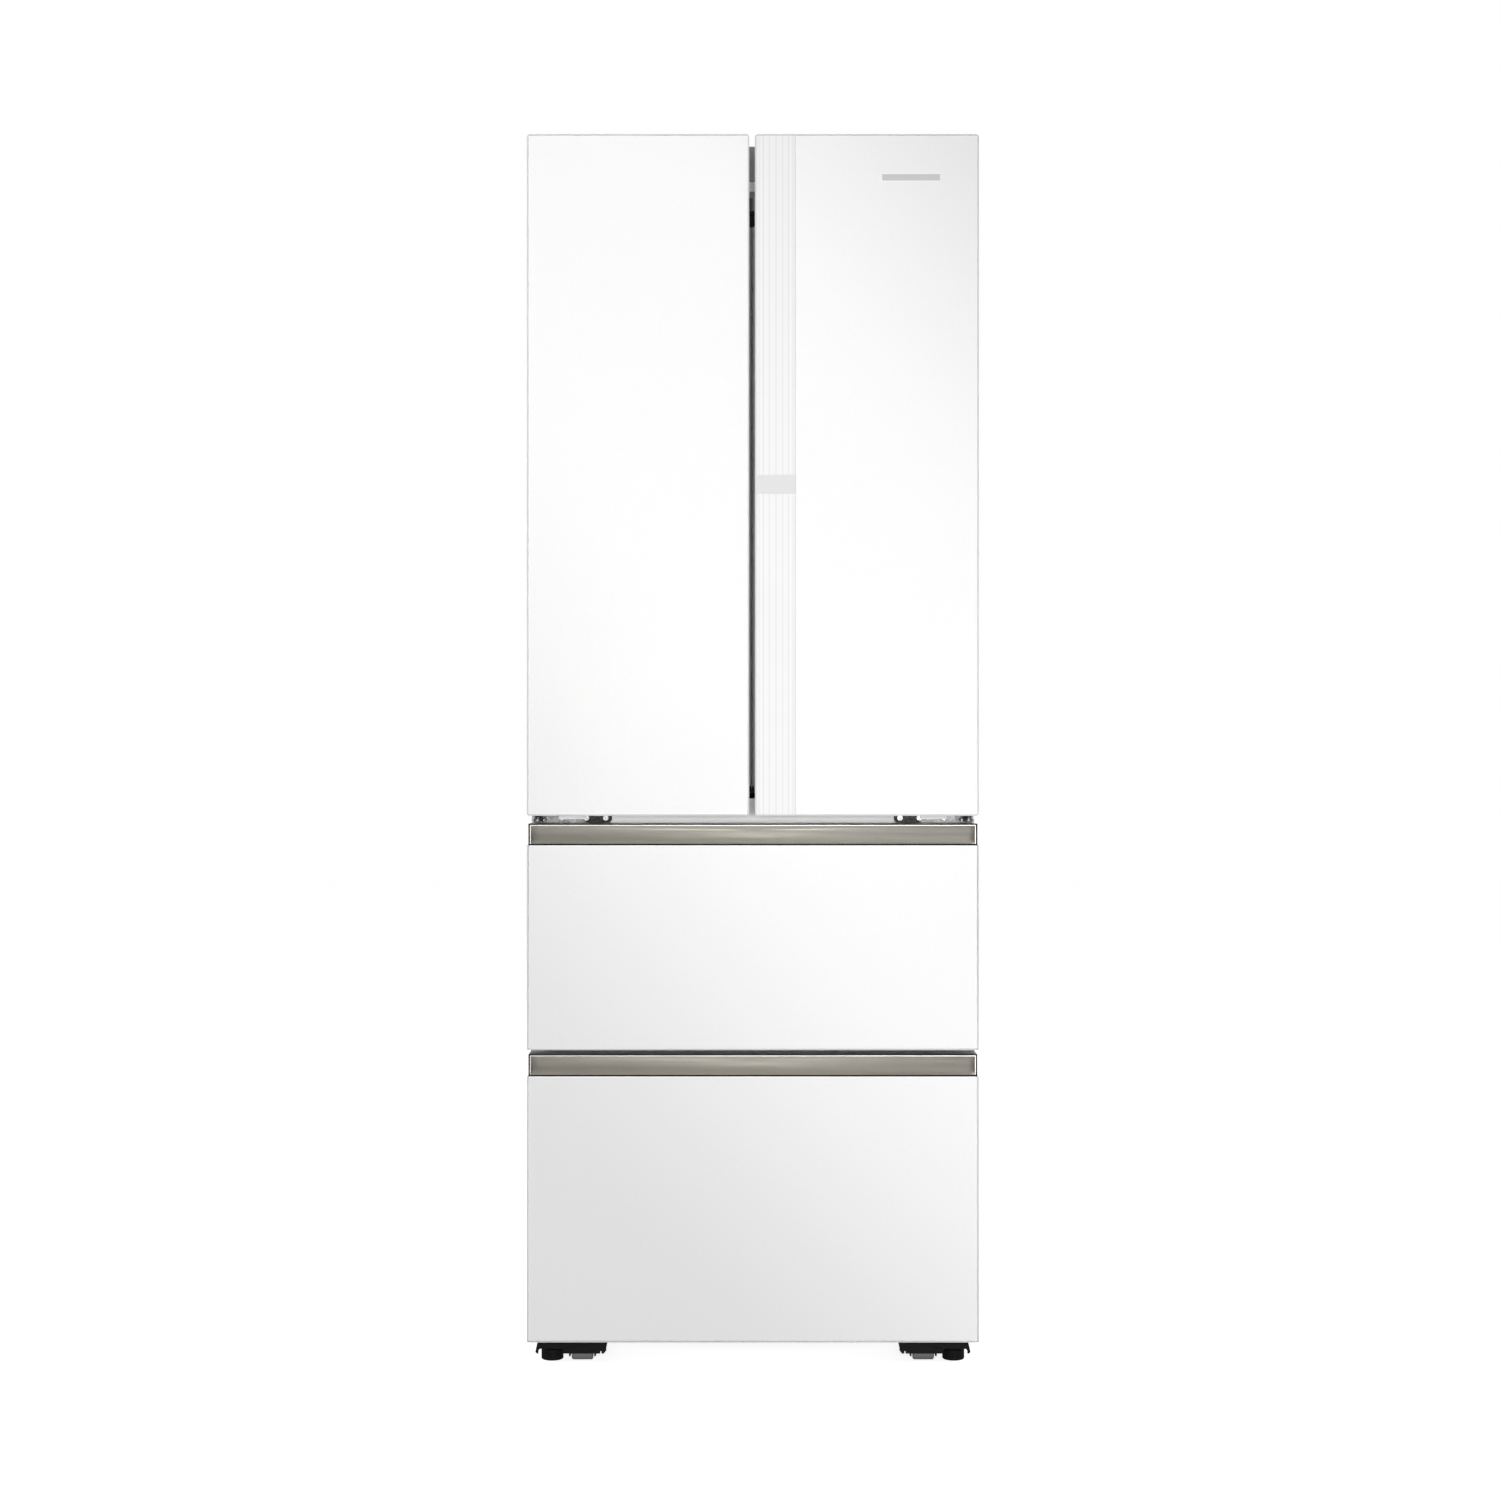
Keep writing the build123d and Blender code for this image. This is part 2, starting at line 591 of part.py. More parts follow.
def make_handle(node, levels):
    """Full-width metal grip: a concave face that runs from the top lip down behind the glass."""
    _, glass_top, top = levels
    floor = glass_top - GRIP_DROP
    half = SIDE - HANDLE_INSET
    lip = (FRONT + GRIP_LIP, top)
    deep = (FRONT + GRIP_DEPTH, glass_top + 1)
    bend = (FRONT + GRIP_LIP + 13, (top + glass_top) / 2 + 4)
    with BuildPart() as handle:
        with BuildSketch(Plane.YZ.offset(-half)):
            with BuildLine():
                ThreePointArc(lip, bend, deep)
                Polyline(
                    deep,
                    (FRONT + GRIP_DEPTH, floor),
                    (FRONT + GLASS, floor),
                    (FRONT + GLASS, floor - 2),
                    (FRONT + GRIP_BACK, floor - 2),
                    (FRONT + GRIP_BACK, top),
                    lip,
                )
            make_face()
        extrude(amount=2 * half)
    save(handle, node)


def make_drawer_gasket(node, z):
    save(seal_ring((-SEAL_EDGE, SEAL_EDGE), z), node)


# ---- Tubs and slides --------------------------------------------------------------


def make_middle_tub():
    """Open plastic tub of the middle drawer."""
    with BuildPart() as tub:
        block((-TUB_HALF, TUB_HALF), (PANEL_BACK, TUB_BACK), MIDDLE_TUB_Z)
        fillet(tub.edges().filter_by(Axis.Z), TUB_CORNER + 2)
        fillet(tub.faces().sort_by(Axis.Z)[0].edges(), TUB_CORNER - 2)
        offset(amount=-TUB_WALL, openings=tub.faces().sort_by(Axis.Z)[-1])
    save(tub, "middle_drawer_tub")


def stepped_block(wall, top, corner):
    """Build the lower tub's outline, drawn in by a wall's thickness on every closed side."""
    x = (-TUB_HALF + wall, TUB_HALF - wall)
    front = PANEL_BACK + wall
    with BuildPart() as body:
        block(x, (front, TUB_STEP[0] - wall), (LOWER_TUB_Z[0] + wall, top))
        block(x, (front, TUB_BACK - wall), (TUB_STEP[1] + wall, top))
        fillet(body.edges().filter_by(Axis.Z), corner)
    return body.part


def make_lower_tub():
    """Open tub of the lower drawer: deep at the front and shallow over the compressor bay."""
    outside = stepped_block(0, LOWER_TUB_Z[1], TUB_CORNER)
    inside = stepped_block(TUB_WALL, LOWER_TUB_Z[1] + 1, TUB_CORNER - TUB_WALL)
    with BuildPart() as tub:
        add(outside)
        add(inside, mode=Mode.SUBTRACT)
    save(tub, "lower_drawer_tub")


def channel(side, member, z, y, lips):
    """A C-shaped slide member in the part being built; it opens from its web to its tip."""
    web, tip, half = member
    towards = 1 if tip > web else -1
    block((side * web, side * tip), y, (z - half, z + half))
    hollow = (side * (web + towards * RAIL_SHEET), side * (tip + towards))
    block(hollow, y, (z - half + RAIL_SHEET, z + half - RAIL_SHEET), Mode.SUBTRACT)
    if lips:
        lip_x = (side * (tip - towards * RAIL_SHEET), side * tip)
        for end in (-1, 1):
            root = z + end * (half - RAIL_SHEET)
            block(lip_x, y, (root, root - end * lips))


def make_channel_group(node, levels, member, y, lips):
    """Left and right slide members at each level, as one group of separate solids."""
    members = []
    for z in levels:
        for side in (-1, 1):
            with BuildPart() as piece:
                channel(side, member, z, y, lips)
            members.append(piece.part)
    with BuildPart() as group:
        add(members)
    save(group, node)


def make_slides():
    """Telescopic slides: cabinet members, intermediate members and drawer members."""
    both = (MIDDLE_SLIDE_Z, LOWER_SLIDE_Z)
    fixed_y = (SLIDE_FRONT, SLIDE_BACK)
    stage_y = (SLIDE_FRONT + 4, SLIDE_BACK - 8)
    moving_y = (PANEL_BACK, SLIDE_BACK - 4)
    make_channel_group("cabinet_slide_members", both, FIXED_MEMBER, fixed_y, LIP)
    for name, z in (("middle", MIDDLE_SLIDE_Z), ("lower", LOWER_SLIDE_Z)):
        make_channel_group(f"{name}_slide_stage", (z,), STAGE_MEMBER, stage_y, LIP)
        make_channel_group(f"{name}_drawer_members", (z,), MOVING_MEMBER, moving_y, 0)


# ---- Cabinet ----------------------------------------------------------------------


def make_wrap():
    """Painted steel wrap: both sides, the top and the narrow front flanges."""
    with BuildPart() as wrap:
        for side in (-1, 1):
            side_x = (side * (CASE_HALF - SHEET), side * CASE_HALF)
            block(side_x, (CASE_FRONT, BACK), (BASE, CASE_TOP))
            flange_x = (side * (OPENING + LINER), side * (CASE_HALF - SHEET))
            block(flange_x, (CASE_FRONT, CASE_FRONT + SHEET), (BASE, CASE_TOP))
        inner = CASE_HALF - SHEET
        block((-inner, inner), (CASE_FRONT, BACK), (CASE_TOP - SHEET, CASE_TOP))
        top_z = (UPPER[1] + LINER, CASE_TOP)
        block((-OPENING - LINER, OPENING + LINER), (CASE_FRONT, CASE_FRONT + SHEET), top_z)
    save(wrap, "cabinet_wrap")


def make_rear_panel():
    """Back sheet with shallow stiffening beads."""
    inner = CASE_HALF - SHEET
    z = (BAY_TOP, CASE_TOP - SHEET)
    with BuildPart() as panel:
        block((-inner, inner), (FOAM_BACK, BACK), z)
        with BuildSketch(facing(BACK)):
            with Locations((0, middle_of(z))):
                with GridLocations(BEAD_PITCH, 1, 5, 1):
                    SlotOverall(z[1] - z[0] - 160, BEAD[0], rotation=90)
        extrude(amount=BEAD[1], mode=Mode.SUBTRACT)
    save(panel, "rear_panel")


def make_foam():
    """Foamed insulation that fills the cabinet around its three compartments."""
    inner = CASE_HALF - SHEET
    x = (-OPENING - LINER, OPENING + LINER)
    front = CASE_FRONT - 1
    with BuildPart() as foam:
        block((-inner, inner), (CASE_FRONT + SHEET, FOAM_BACK), (BASE + 2, CASE_TOP - SHEET))
        for floor, ceiling in (UPPER, MIDDLE):
            block(x, (front, LINER_BACK + LINER), (floor - LINER, ceiling + LINER), Mode.SUBTRACT)
        block(x, (front, STEP_Y + LINER), (LOWER[0] - LINER, LOWER[1] + LINER), Mode.SUBTRACT)
        step_z = (STEP_FLOOR - LINER, LOWER[1] + LINER)
        block(x, (front, LINER_BACK + LINER), step_z, Mode.SUBTRACT)
        for z in CROSSRAILS:
            block(x, (front, CASE_FRONT + RAIL_DEPTH), z, Mode.SUBTRACT)
        block((-inner, inner), (BAY_FRONT, BACK), (BASE, BAY_TOP + 2), Mode.SUBTRACT)
    save(foam, "insulation_foam")


def make_liners():
    """White plastic liners of the three compartments, with ledges for the shelves."""
    out_x = (-OPENING - LINER, OPENING + LINER)
    in_x = (-OPENING, OPENING)
    back = (LINER_BACK, LINER_BACK + LINER)
    front = CASE_FRONT - 1
    liners = []
    for floor, ceiling in (UPPER, MIDDLE):
        with BuildPart() as liner:
            block(out_x, (CASE_FRONT, back[1]), (floor - LINER, ceiling + LINER))
            block(in_x, (front, back[0]), (floor, ceiling), Mode.SUBTRACT)
            if floor == UPPER[0]:
                for z in SHELF_Z:
                    for side in (-1, 1):
                        ledge_x = (side * (OPENING - 6), side * (OPENING + 1))
                        block(ledge_x, (SHELF_FRONT + 4, SHELF_BACK), (z - LEDGE_HEIGHT, z))
        liners.append(liner.part)
    with BuildPart() as low:
        block(out_x, (CASE_FRONT, STEP_Y + LINER), (LOWER[0] - LINER, LOWER[1] + LINER))
        block(out_x, (CASE_FRONT, back[1]), (STEP_FLOOR - LINER, LOWER[1] + LINER))
        block(in_x, (front, STEP_Y), LOWER, Mode.SUBTRACT)
        block(in_x, (front, back[0]), (STEP_FLOOR, LOWER[1]), Mode.SUBTRACT)
    liners.append(low.part)
    with BuildPart() as group:
        add(liners)
    save(group, "compartment_liners")


def make_crossrails():
    """Steel channels across the cabinet's front, between and under the compartments."""
    x = (-OPENING - LINER, OPENING + LINER)
    rails = []
    for low, high in CROSSRAILS:
        with BuildPart() as rail:
            block(x, (CASE_FRONT, CASE_FRONT + RAIL_DEPTH), (low, high))
            hollow = (low + RAIL_SHEET, high - RAIL_SHEET)
            block(x, (CASE_FRONT + RAIL_SHEET, CASE_FRONT + RAIL_DEPTH + 1), hollow, Mode.SUBTRACT)
        rails.append(rail.part)
    with BuildPart() as group:
        add(rails)
    save(group, "crossrails")


def make_top_trim():
    """Plastic cover along the cabinet's top front edge, over the hinge brackets."""
    y = (CASE_FRONT, TRIM_BACK)
    z = (CASE_TOP, HEIGHT - 2)
    with BuildPart() as trim:
        block((-CASE_HALF, CASE_HALF), y, z)
        fillet(trim.edges().filter_by(Axis.X).group_by(Axis.Z)[-1], 5)
        inner_x = CASE_HALF - TRIM_WALL
        inner_y = (y[0] + TRIM_WALL, y[1] - TRIM_WALL)
        block((-inner_x, inner_x), inner_y, (z[0], z[1] - TRIM_WALL), Mode.SUBTRACT)
        for side in (-1, 1):
            arm_x = (side * TRIM_ARM_X, side * inner_x)
            block(arm_x, (y[0] - 1, inner_y[0] + 1), (z[0], z[0] + 2 * ARM + 1), Mode.SUBTRACT)
        block(TONGUE_X, (CASE_FRONT - TONGUE, CASE_FRONT), (TONGUE_Z, CASE_TOP + 15))
    save(trim, "top_trim")


def make_hinge_brackets():
    """Top and middle door hinges: steel arms with their pins and screw holes."""
    brackets = []
    for side in (-1, 1):
        pin_x = side * HINGE_X
        arm_x = (side * ARM_X[0], side * ARM_X[1])
        with BuildPart() as top:
            block((side * HINGE_BLOCK_X, arm_x[1]), (CASE_FRONT, TOP_PLATE_Y), TOP_ARM)
            block(arm_x, (HINGE_Y, CASE_FRONT + 1), TOP_ARM)
            rod((pin_x, HINGE_Y, TOP_ARM[0]), UP, EYE, ARM)
            rod((pin_x, HINGE_Y, TOP_PIN_Z[0]), UP, PIN, TOP_PIN_Z[1] - TOP_PIN_Z[0])
            for y in TOP_SCREW_Y:
                hole = (side * TOP_SCREW_X, y, CASE_TOP - 1)
                rod(hole, UP, SCREW, ARM + 2, Mode.SUBTRACT)
        brackets.append(top.part)
        with BuildPart() as low:
            block((side * BRACKET_X, arm_x[1]), (CASE_FRONT - BRACKET, CASE_FRONT), BRACKET_Z)
            lower_edges = low.edges().filter_by(Axis.Y).group_by(Axis.Z)[0]
            fillet(lower_edges.sort_by(Axis.X)[0 if side > 0 else -1], BRACKET_CORNER)
            block(arm_x, (HINGE_Y, CASE_FRONT - 1), LOW_ARM)
            rod((pin_x, HINGE_Y, LOW_ARM[0]), UP, EYE, ARM)
            rod((pin_x, HINGE_Y, LOW_ARM[1]), UP, *COLLAR)
            rod((pin_x, HINGE_Y, LOW_ARM[0]), UP, PIN, LOW_PIN_LENGTH)
            for x in BRACKET_SCREW_X:
                hole = (side * x, CASE_FRONT - BRACKET - 1, BRACKET_SCREW_Z)
                rod(hole, REARWARD, SCREW, BRACKET + 2, Mode.SUBTRACT)
        brackets.append(low.part)
    with BuildPart() as group:
        add(brackets)
    save(group, "hinge_brackets")


def screw(head_at, direction, head, shank):
    """One cross-head screw, from under its head along a direction."""
    with BuildPart() as one:
        rod(head_at, direction, SCREW, shank)
        back = tuple(-value for value in direction)
        rod(head_at, back, head, SCREW_HEAD)
        crown = one.faces().filter_by(GeomType.PLANE).sort_by(Axis(head_at, back))[-1]
        chamfer(crown.edges(), 0.8)
        with Locations(Plane(origin=crown.center(), z_dir=back)):
            Box(head, *SCREW_CROSS, mode=Mode.SUBTRACT)
            Box(SCREW_CROSS[0], head, SCREW_CROSS[1], mode=Mode.SUBTRACT)
    return one.part


def make_screws():
    """Screws of the hinge brackets, as one group of separate solids."""
    screws = []
    for side in (-1, 1):
        for x in BRACKET_SCREW_X:
            head_at = (side * x, CASE_FRONT - BRACKET, BRACKET_SCREW_Z)
            screws.append(screw(head_at, REARWARD, 5, BRACKET))
        for y in TOP_SCREW_Y:
            screws.append(screw((side * TOP_SCREW_X, y, TOP_ARM[1]), DOWN, 5, ARM))
    with BuildPart() as group:
        add(screws)
    save(group, "hinge_screws")


# ---- Interior ---------------------------------------------------------------------


def make_shelves():
    """Glass shelves of the upper compartment; the lowest one covers the crispers."""
    panes = []
    for z in SHELF_Z:
        with BuildPart() as pane:
            block((-OPENING + 1, OPENING - 1), (SHELF_FRONT, SHELF_BACK), (z, z + SHELF_GLASS))
            fillet(pane.edges().filter_by(Axis.Z), 6)
        panes.append(pane.part)
    with BuildPart() as group:
        add(panes)
    save(group, "glass_shelves")


def make_crispers():
    """Two open bins that stand side by side on the upper compartment's floor."""
    trays = []
    for side in (-1, 1):
        x = (side * CRISPER_X[0], side * CRISPER_X[1])
        grip_x = (side * CRISPER_GRIP_X[0], side * CRISPER_GRIP_X[1])
        with BuildPart() as tray:
            block(x, (SHELF_FRONT + 4, SHELF_BACK - 6), (UPPER[0], CRISPER_TOP))
            fillet(tray.edges().filter_by(Axis.Z), 14)
            offset(amount=-CRISPER_WALL, openings=tray.faces().sort_by(Axis.Z)[-1])
            block(grip_x, (SHELF_FRONT - 6, SHELF_FRONT + 5), CRISPER_GRIP_Z)
        trays.append(tray.part)
    with BuildPart() as group:
        add(trays)
    save(group, "crisper_bins")


def make_interior_covers():
    """Upper air duct cover, evaporator cover with the fan's grille, and the ceiling light cover."""
    with BuildPart() as duct:
        block((-DUCT_HALF, DUCT_HALF), DUCT_Y, (UPPER[0], DUCT_TOP))
        fillet(duct.edges().filter_by(Axis.Z).group_by(Axis.Y)[0], 5)
        inner_half = DUCT_HALF - DUCT_WALL
        inner_y = (DUCT_Y[0] + DUCT_WALL, DUCT_Y[1] + 1)
        block((-inner_half, inner_half), inner_y, (UPPER[0] - 1, DUCT_TOP - DUCT_WALL), Mode.SUBTRACT)
        with BuildSketch(facing(DUCT_Y[0] - 1)):
            for z in VENT_Z:
                with Locations((0, z)):
                    with GridLocations(VENT_PITCH, 1, 3, 1):
                        SlotOverall(*VENT)
        extrude(amount=-2 * DUCT_WALL, mode=Mode.SUBTRACT)
    cover_y = (EVAPORATOR_COVER_Y, EVAPORATOR_COVER_Y + COVER_SHEET)
    with BuildPart() as cover:
        block((-COVER_HALF, COVER_HALF), cover_y, MIDDLE)
        with BuildSketch(facing(cover_y[0] - 1)):
            with Locations((EVAPORATOR_FAN[0], EVAPORATOR_FAN[2])):
                Circle(FAN_GRILLE)
                for ring in GRILLE_RINGS:
                    Circle(ring + 1.2, mode=Mode.SUBTRACT)
                    Circle(ring - 1.2)
                Rectangle(2 * FAN_GRILLE + 4, GRILLE_BAR, mode=Mode.SUBTRACT)
                Rectangle(GRILLE_BAR, 2 * FAN_GRILLE + 4, mode=Mode.SUBTRACT)
        extrude(amount=-2 * COVER_SHEET, mode=Mode.SUBTRACT)
        for side in (-1, 1):
            wing_x = (side * (COVER_HALF - COVER_SHEET), side * COVER_HALF)
            block(wing_x, (cover_y[1], LINER_BACK), MIDDLE)
    with BuildPart() as light:
        block((-LIGHT_HALF, LIGHT_HALF), LIGHT_Y, (UPPER[1] - LIGHT_HEIGHT, UPPER[1]))
        fillet(light.faces().sort_by(Axis.Z)[0].edges(), 4)
    with BuildPart() as group:
        add([duct.part, cover.part, light.part])
    save(group, "interior_covers")


# ---- Cooling ----------------------------------------------------------------------


def finned_coil(x, y_rows, first_z, layers, tube, fin_pitch):
    """Build a tube coil with sheet fins: straight tubes, end bends and evenly spaced fins."""
    z_rows = [first_z + TUBE_PITCH * layer for layer in range(layers)]
    y = (y_rows[0] - COIL_MARGIN, y_rows[-1] + COIL_MARGIN)
    z = (z_rows[0] - COIL_MARGIN, z_rows[-1] + COIL_MARGIN)
    fins = int((x[1] - x[0] - 2 * COIL_END) // fin_pitch)
    with BuildPart() as coil:
        for step in range(fins + 1):
            fin_x = x[0] + COIL_END + step * fin_pitch
            block((fin_x, fin_x + FIN), y, z)
        for row_y in y_rows:
            for layer, row_z in enumerate(z_rows):
                rod((x[0], row_y, row_z), RIGHTWARD, tube, x[1] - x[0])
                if layer:
                    end = x[(layer - 1) % 2]
                    rod((end, row_y, row_z - TUBE_PITCH), UP, tube, TUBE_PITCH)
    return coil.part


def make_coils():
    """The evaporator behind the middle drawer and the condenser in the compressor bay."""
    evaporator = finned_coil((-200, 200), (212, 238), 540, 6, 4, 14)
    condenser = finned_coil((110, 310), (170, 195, 220, 245), 116, 6, 3, 12)
    with BuildPart() as group:
        add([evaporator, condenser])
    save(group, "cooling_coils")


def make_fan(node, plane):
    """A small axial fan with pitched blades on a hub."""
    with BuildPart(plane) as fan:
        Cylinder(*FAN_HUB)
        with PolarLocations(BLADE_RADIUS, FAN_BLADES):
            Box(*FAN_BLADE, rotation=(BLADE_PITCH, 0, 0))
        Cylinder(FAN_SHAFT + 0.05, 2 * FAN_HUB[1], mode=Mode.SUBTRACT)
    save(fan, node)


def make_fan_motors():
    """Motors of both fans, each with its shaft, and the condenser fan's mounting foot."""
    x, y, z = EVAPORATOR_FAN
    with BuildPart() as evaporator_motor:
        rod((x, y + 12, z), REARWARD, 16, LINER_BACK - y - 12)
        rod((x, y - 9, z), REARWARD, FAN_SHAFT, SHAFT_LENGTH)
    x, y, z = CONDENSER_FAN
    floor = BASE + 2
    with BuildPart() as condenser_motor:
        rod((x + 12, y, z), RIGHTWARD, 18, 30)
        rod((x - 9, y, z), RIGHTWARD, FAN_SHAFT, SHAFT_LENGTH)
        block((x + 20, x + 34), (y - 8, y + 8), (floor, z))
        block((x + 12, x + 42), (y - 26, y + 26), (floor, floor + 3))
    with BuildPart() as group:
        add([evaporator_motor.part, condenser_motor.part])
    save(group, "fan_motors")


def make_compressor():
    """Sealed compressor shell with its seam, on a footed plate, with two pipe stubs."""
    x, y = COMPRESSOR
    floor = BASE + 2
    low, high = COMPRESSOR_Z
    with BuildPart() as compressor:
        rod((x, y, low), UP, COMPRESSOR_R, high - low)
        rims = compressor.edges().filter_by(GeomType.CIRCLE).sort_by(Axis.Z)
        fillet(rims[-1], COMPRESSOR_CROWN)
        fillet(rims[0], COMPRESSOR_CROWN / 4)
        rod((x, y, floor + 84), UP, COMPRESSOR_R + 3, 5)
        plate_x = (x - FOOT_PLATE[0], x + FOOT_PLATE[0])
        plate_y = (y - FOOT_PLATE[1], y + FOOT_PLATE[1])
        block(plate_x, plate_y, (floor + 14, floor + 18))
        with Locations((x, y, floor)):
            with GridLocations(2 * COMPRESSOR_FOOT[0], 2 * COMPRESSOR_FOOT[1], 2, 2):
                Cylinder(11, 18, align=(Align.CENTER, Align.CENTER, Align.MIN))
        rod((x + 40, y, floor + 110), RIGHTWARD, 4.5, 60)
        rod((x + 30, y + 20, floor + 125), RIGHTWARD, 3.5, 60)
    save(compressor, "compressor")


def make_rear_cover():
    """Cover of the compressor bay, with rows of vent slots and a hole for the mains inlet."""
    inner = CASE_HALF - SHEET
    with BuildPart() as cover:
        block((-inner, inner), (FOAM_BACK, BACK), (BASE + 4, BAY_TOP))
        with BuildSketch(facing(BACK)):
            with Locations(COVER_VENT_CENTRE):
                with GridLocations(*COVER_VENT_PITCH, *COVER_VENTS):
                    SlotOverall(*COVER_VENT)
        extrude(amount=4, mode=Mode.SUBTRACT)
        hole = (INLET[0], BACK - 4, INLET[1])
        rod(hole, REARWARD, INLET_R + 0.1, 8, Mode.SUBTRACT)
    save(cover, "rear_cover")


def make_inlet():
    """Mains inlet gland that sits in the rear cover, with its cable bore."""
    x, z = INLET
    with BuildPart() as gland:
        rod((x, BACK - 22, z), REARWARD, INLET_R, 22)
        rod((x, BACK - 6, z), REARWARD, INLET_R + 5, 4)
        rod((x, BACK - 23, z), REARWARD, CABLE_BORE, 30, Mode.SUBTRACT)
    save(gland, "mains_inlet_gland")


def make_drain_pan():
    """Evaporation tray for defrost water, on the bay's floor beside the compressor."""
    with BuildPart() as pan:
        block(PAN_X, PAN_Y, (BASE + 2, PAN_TOP))
        fillet(pan.edges().filter_by(Axis.Z), 12)
        offset(amount=-2, openings=pan.faces().sort_by(Axis.Z)[-1])
    save(pan, "drain_pan")


# ---- Base, feet and rollers -------------------------------------------------------


def make_base_pan():
    """Steel base plate with the forks of the rear wheels."""
    inner = CASE_HALF - SHEET
    fork_y = (REAR_Y - FORK_HALF, REAR_Y + FORK_HALF)
    with BuildPart() as pan:
        block((-inner, inner), (CASE_FRONT + RAIL_DEPTH, FOAM_BACK), (BASE, BASE + 2))
        for side in (-1, 1):
            for x in FORKS:
                block((side * x, side * (x + 3)), fork_y, (FORK_BOTTOM, BASE))
                start = (side * x - 5, REAR_Y, REAR_WHEEL_R)
                rod(start, RIGHTWARD, REAR_SHAFT + 0.05, 10, Mode.SUBTRACT)
    save(pan, "base_pan")


def make_rear_wheels():
    """Two rear wheels on one shaft, which turns in the base plate's forks."""
    shaft = FORKS[1] + 6
    with BuildPart() as wheels:
        rod((-shaft, REAR_Y, REAR_WHEEL_R), RIGHTWARD, REAR_SHAFT, 2 * shaft)
        for side in (-1, 1):
            start = (side * REAR_WHEEL_X - REAR_WHEEL_HALF, REAR_Y, REAR_WHEEL_R)
            rod(start, RIGHTWARD, REAR_WHEEL_R, 2 * REAR_WHEEL_HALF)
        rims = wheels.edges().filter_by(GeomType.CIRCLE).filter_by(lambda edge: edge.radius > REAR_SHAFT + 1)
        chamfer(rims, 1.5)
    save(wheels, "rear_wheels")


def make_foot_brackets():
    """Stamped steel brackets under the front corners: apron, foot plate and roller forks."""
    brackets = []
    bottom, top = APRON_Z
    sides_y = (BRACKET_FRONT, BRACKET_BACK)
    for side in (-1, 1):
        with BuildPart() as bracket:
            with BuildSketch(facing(BRACKET_FRONT)):
                with BuildLine():
                    inner = ((side * APRON_X[0], top), (side * APRON_X[0], bottom + 5))
                    low = ((side * (APRON_X[0] + 4), bottom), (side * (APRON_TOE[0] - 2.5), bottom))
                    outer = ((side * APRON_TOE[0], APRON_TOE[1]), (side * APRON_X[1], top))
                    Polyline(*inner, *low, *outer, close=True)
                make_face()
                with Locations((side * middle_of(ARCH_X), middle_of((0, ARCH_TOP)))):
                    RectangleRounded(ARCH_X[1] - ARCH_X[0], ARCH_TOP, 4, mode=Mode.SUBTRACT)
                with Locations((side * middle_of(SLIT_X), bottom)):
                    Rectangle(SLIT_X[1] - SLIT_X[0], ARCH_TOP - bottom, mode=Mode.SUBTRACT)
            extrude(amount=-STAMPED)
            block((side * APRON_X[0], side * APRON_X[1]), sides_y, (top - 3, top))
            for edge in (APRON_X[0], APRON_X[1] - STAMPED):
                block((side * edge, side * (edge + STAMPED)), sides_y, (ARCH_TOP + 1, top))
            for post in POSTS:
                block((side * post, side * (post + POST)), (POST_FRONT, BRACKET_BACK), (top, BASE))
            for ear in EARS:
                block((side * ear, side * (ear + STAMPED)), EAR_Y, (EAR_BOTTOM, top))
                bore = (side * (ear + STAMPED / 2) - 4, ROLLER_Y, ROLLER_Z)
                rod(bore, RIGHTWARD, AXLE + 0.02, 8, Mode.SUBTRACT)
            rod((side * FOOT_X, FOOT_Y, top - 6), UP, STEM + 0.05, 8, Mode.SUBTRACT)
        brackets.append(bracket.part)
    with BuildPart() as group:
        add(brackets)
    save(group, "foot_brackets")


def make_roller_axles():
    """Steel pins of the front rollers, with their heads."""
    near, far = AXLE_X
    with BuildPart() as axles:
        for direction, side in ((LEFTWARD, -1), (RIGHTWARD, 1)):
            rod((side * near, ROLLER_Y, ROLLER_Z), direction, AXLE, far - near)
            rod((side * far, ROLLER_Y, ROLLER_Z), direction, AXLE + 1.5, 3)
    save(axles, "roller_axles")


def make_front_roller(node, side):
    """Plastic roller that turns on its pin."""
    start = (side * ROLLER_X - ROLLER_HALF, ROLLER_Y, ROLLER_Z)
    with BuildPart() as roller:
        rod(start, RIGHTWARD, ROLLER_R, 2 * ROLLER_HALF)
        chamfer(roller.edges().filter_by(GeomType.CIRCLE), 1.8)
        rod(start, RIGHTWARD, AXLE + 0.06, 2 * ROLLER_HALF, Mode.SUBTRACT)
    save(roller, node)


def make_levelling_foot(node, side):
    """Levelling foot: a knurled drum on its stem."""
    with BuildPart() as foot:
        rod((side * FOOT_X, FOOT_Y, 0), UP, FOOT_R, FOOT_HEIGHT)
        chamfer(foot.edges().filter_by(GeomType.CIRCLE), 1.4)
        with Locations((side * FOOT_X, FOOT_Y, FOOT_HEIGHT / 2 + 0.5)):
            with PolarLocations(FOOT_R + 0.2, KNURLS):
                Cylinder(KNURL, FOOT_HEIGHT - 6, mode=Mode.SUBTRACT)
        rod((side * FOOT_X, FOOT_Y, FOOT_HEIGHT), UP, STEM, 20)
    save(foot, node)


# ---- The whole refrigerator -------------------------------------------------------


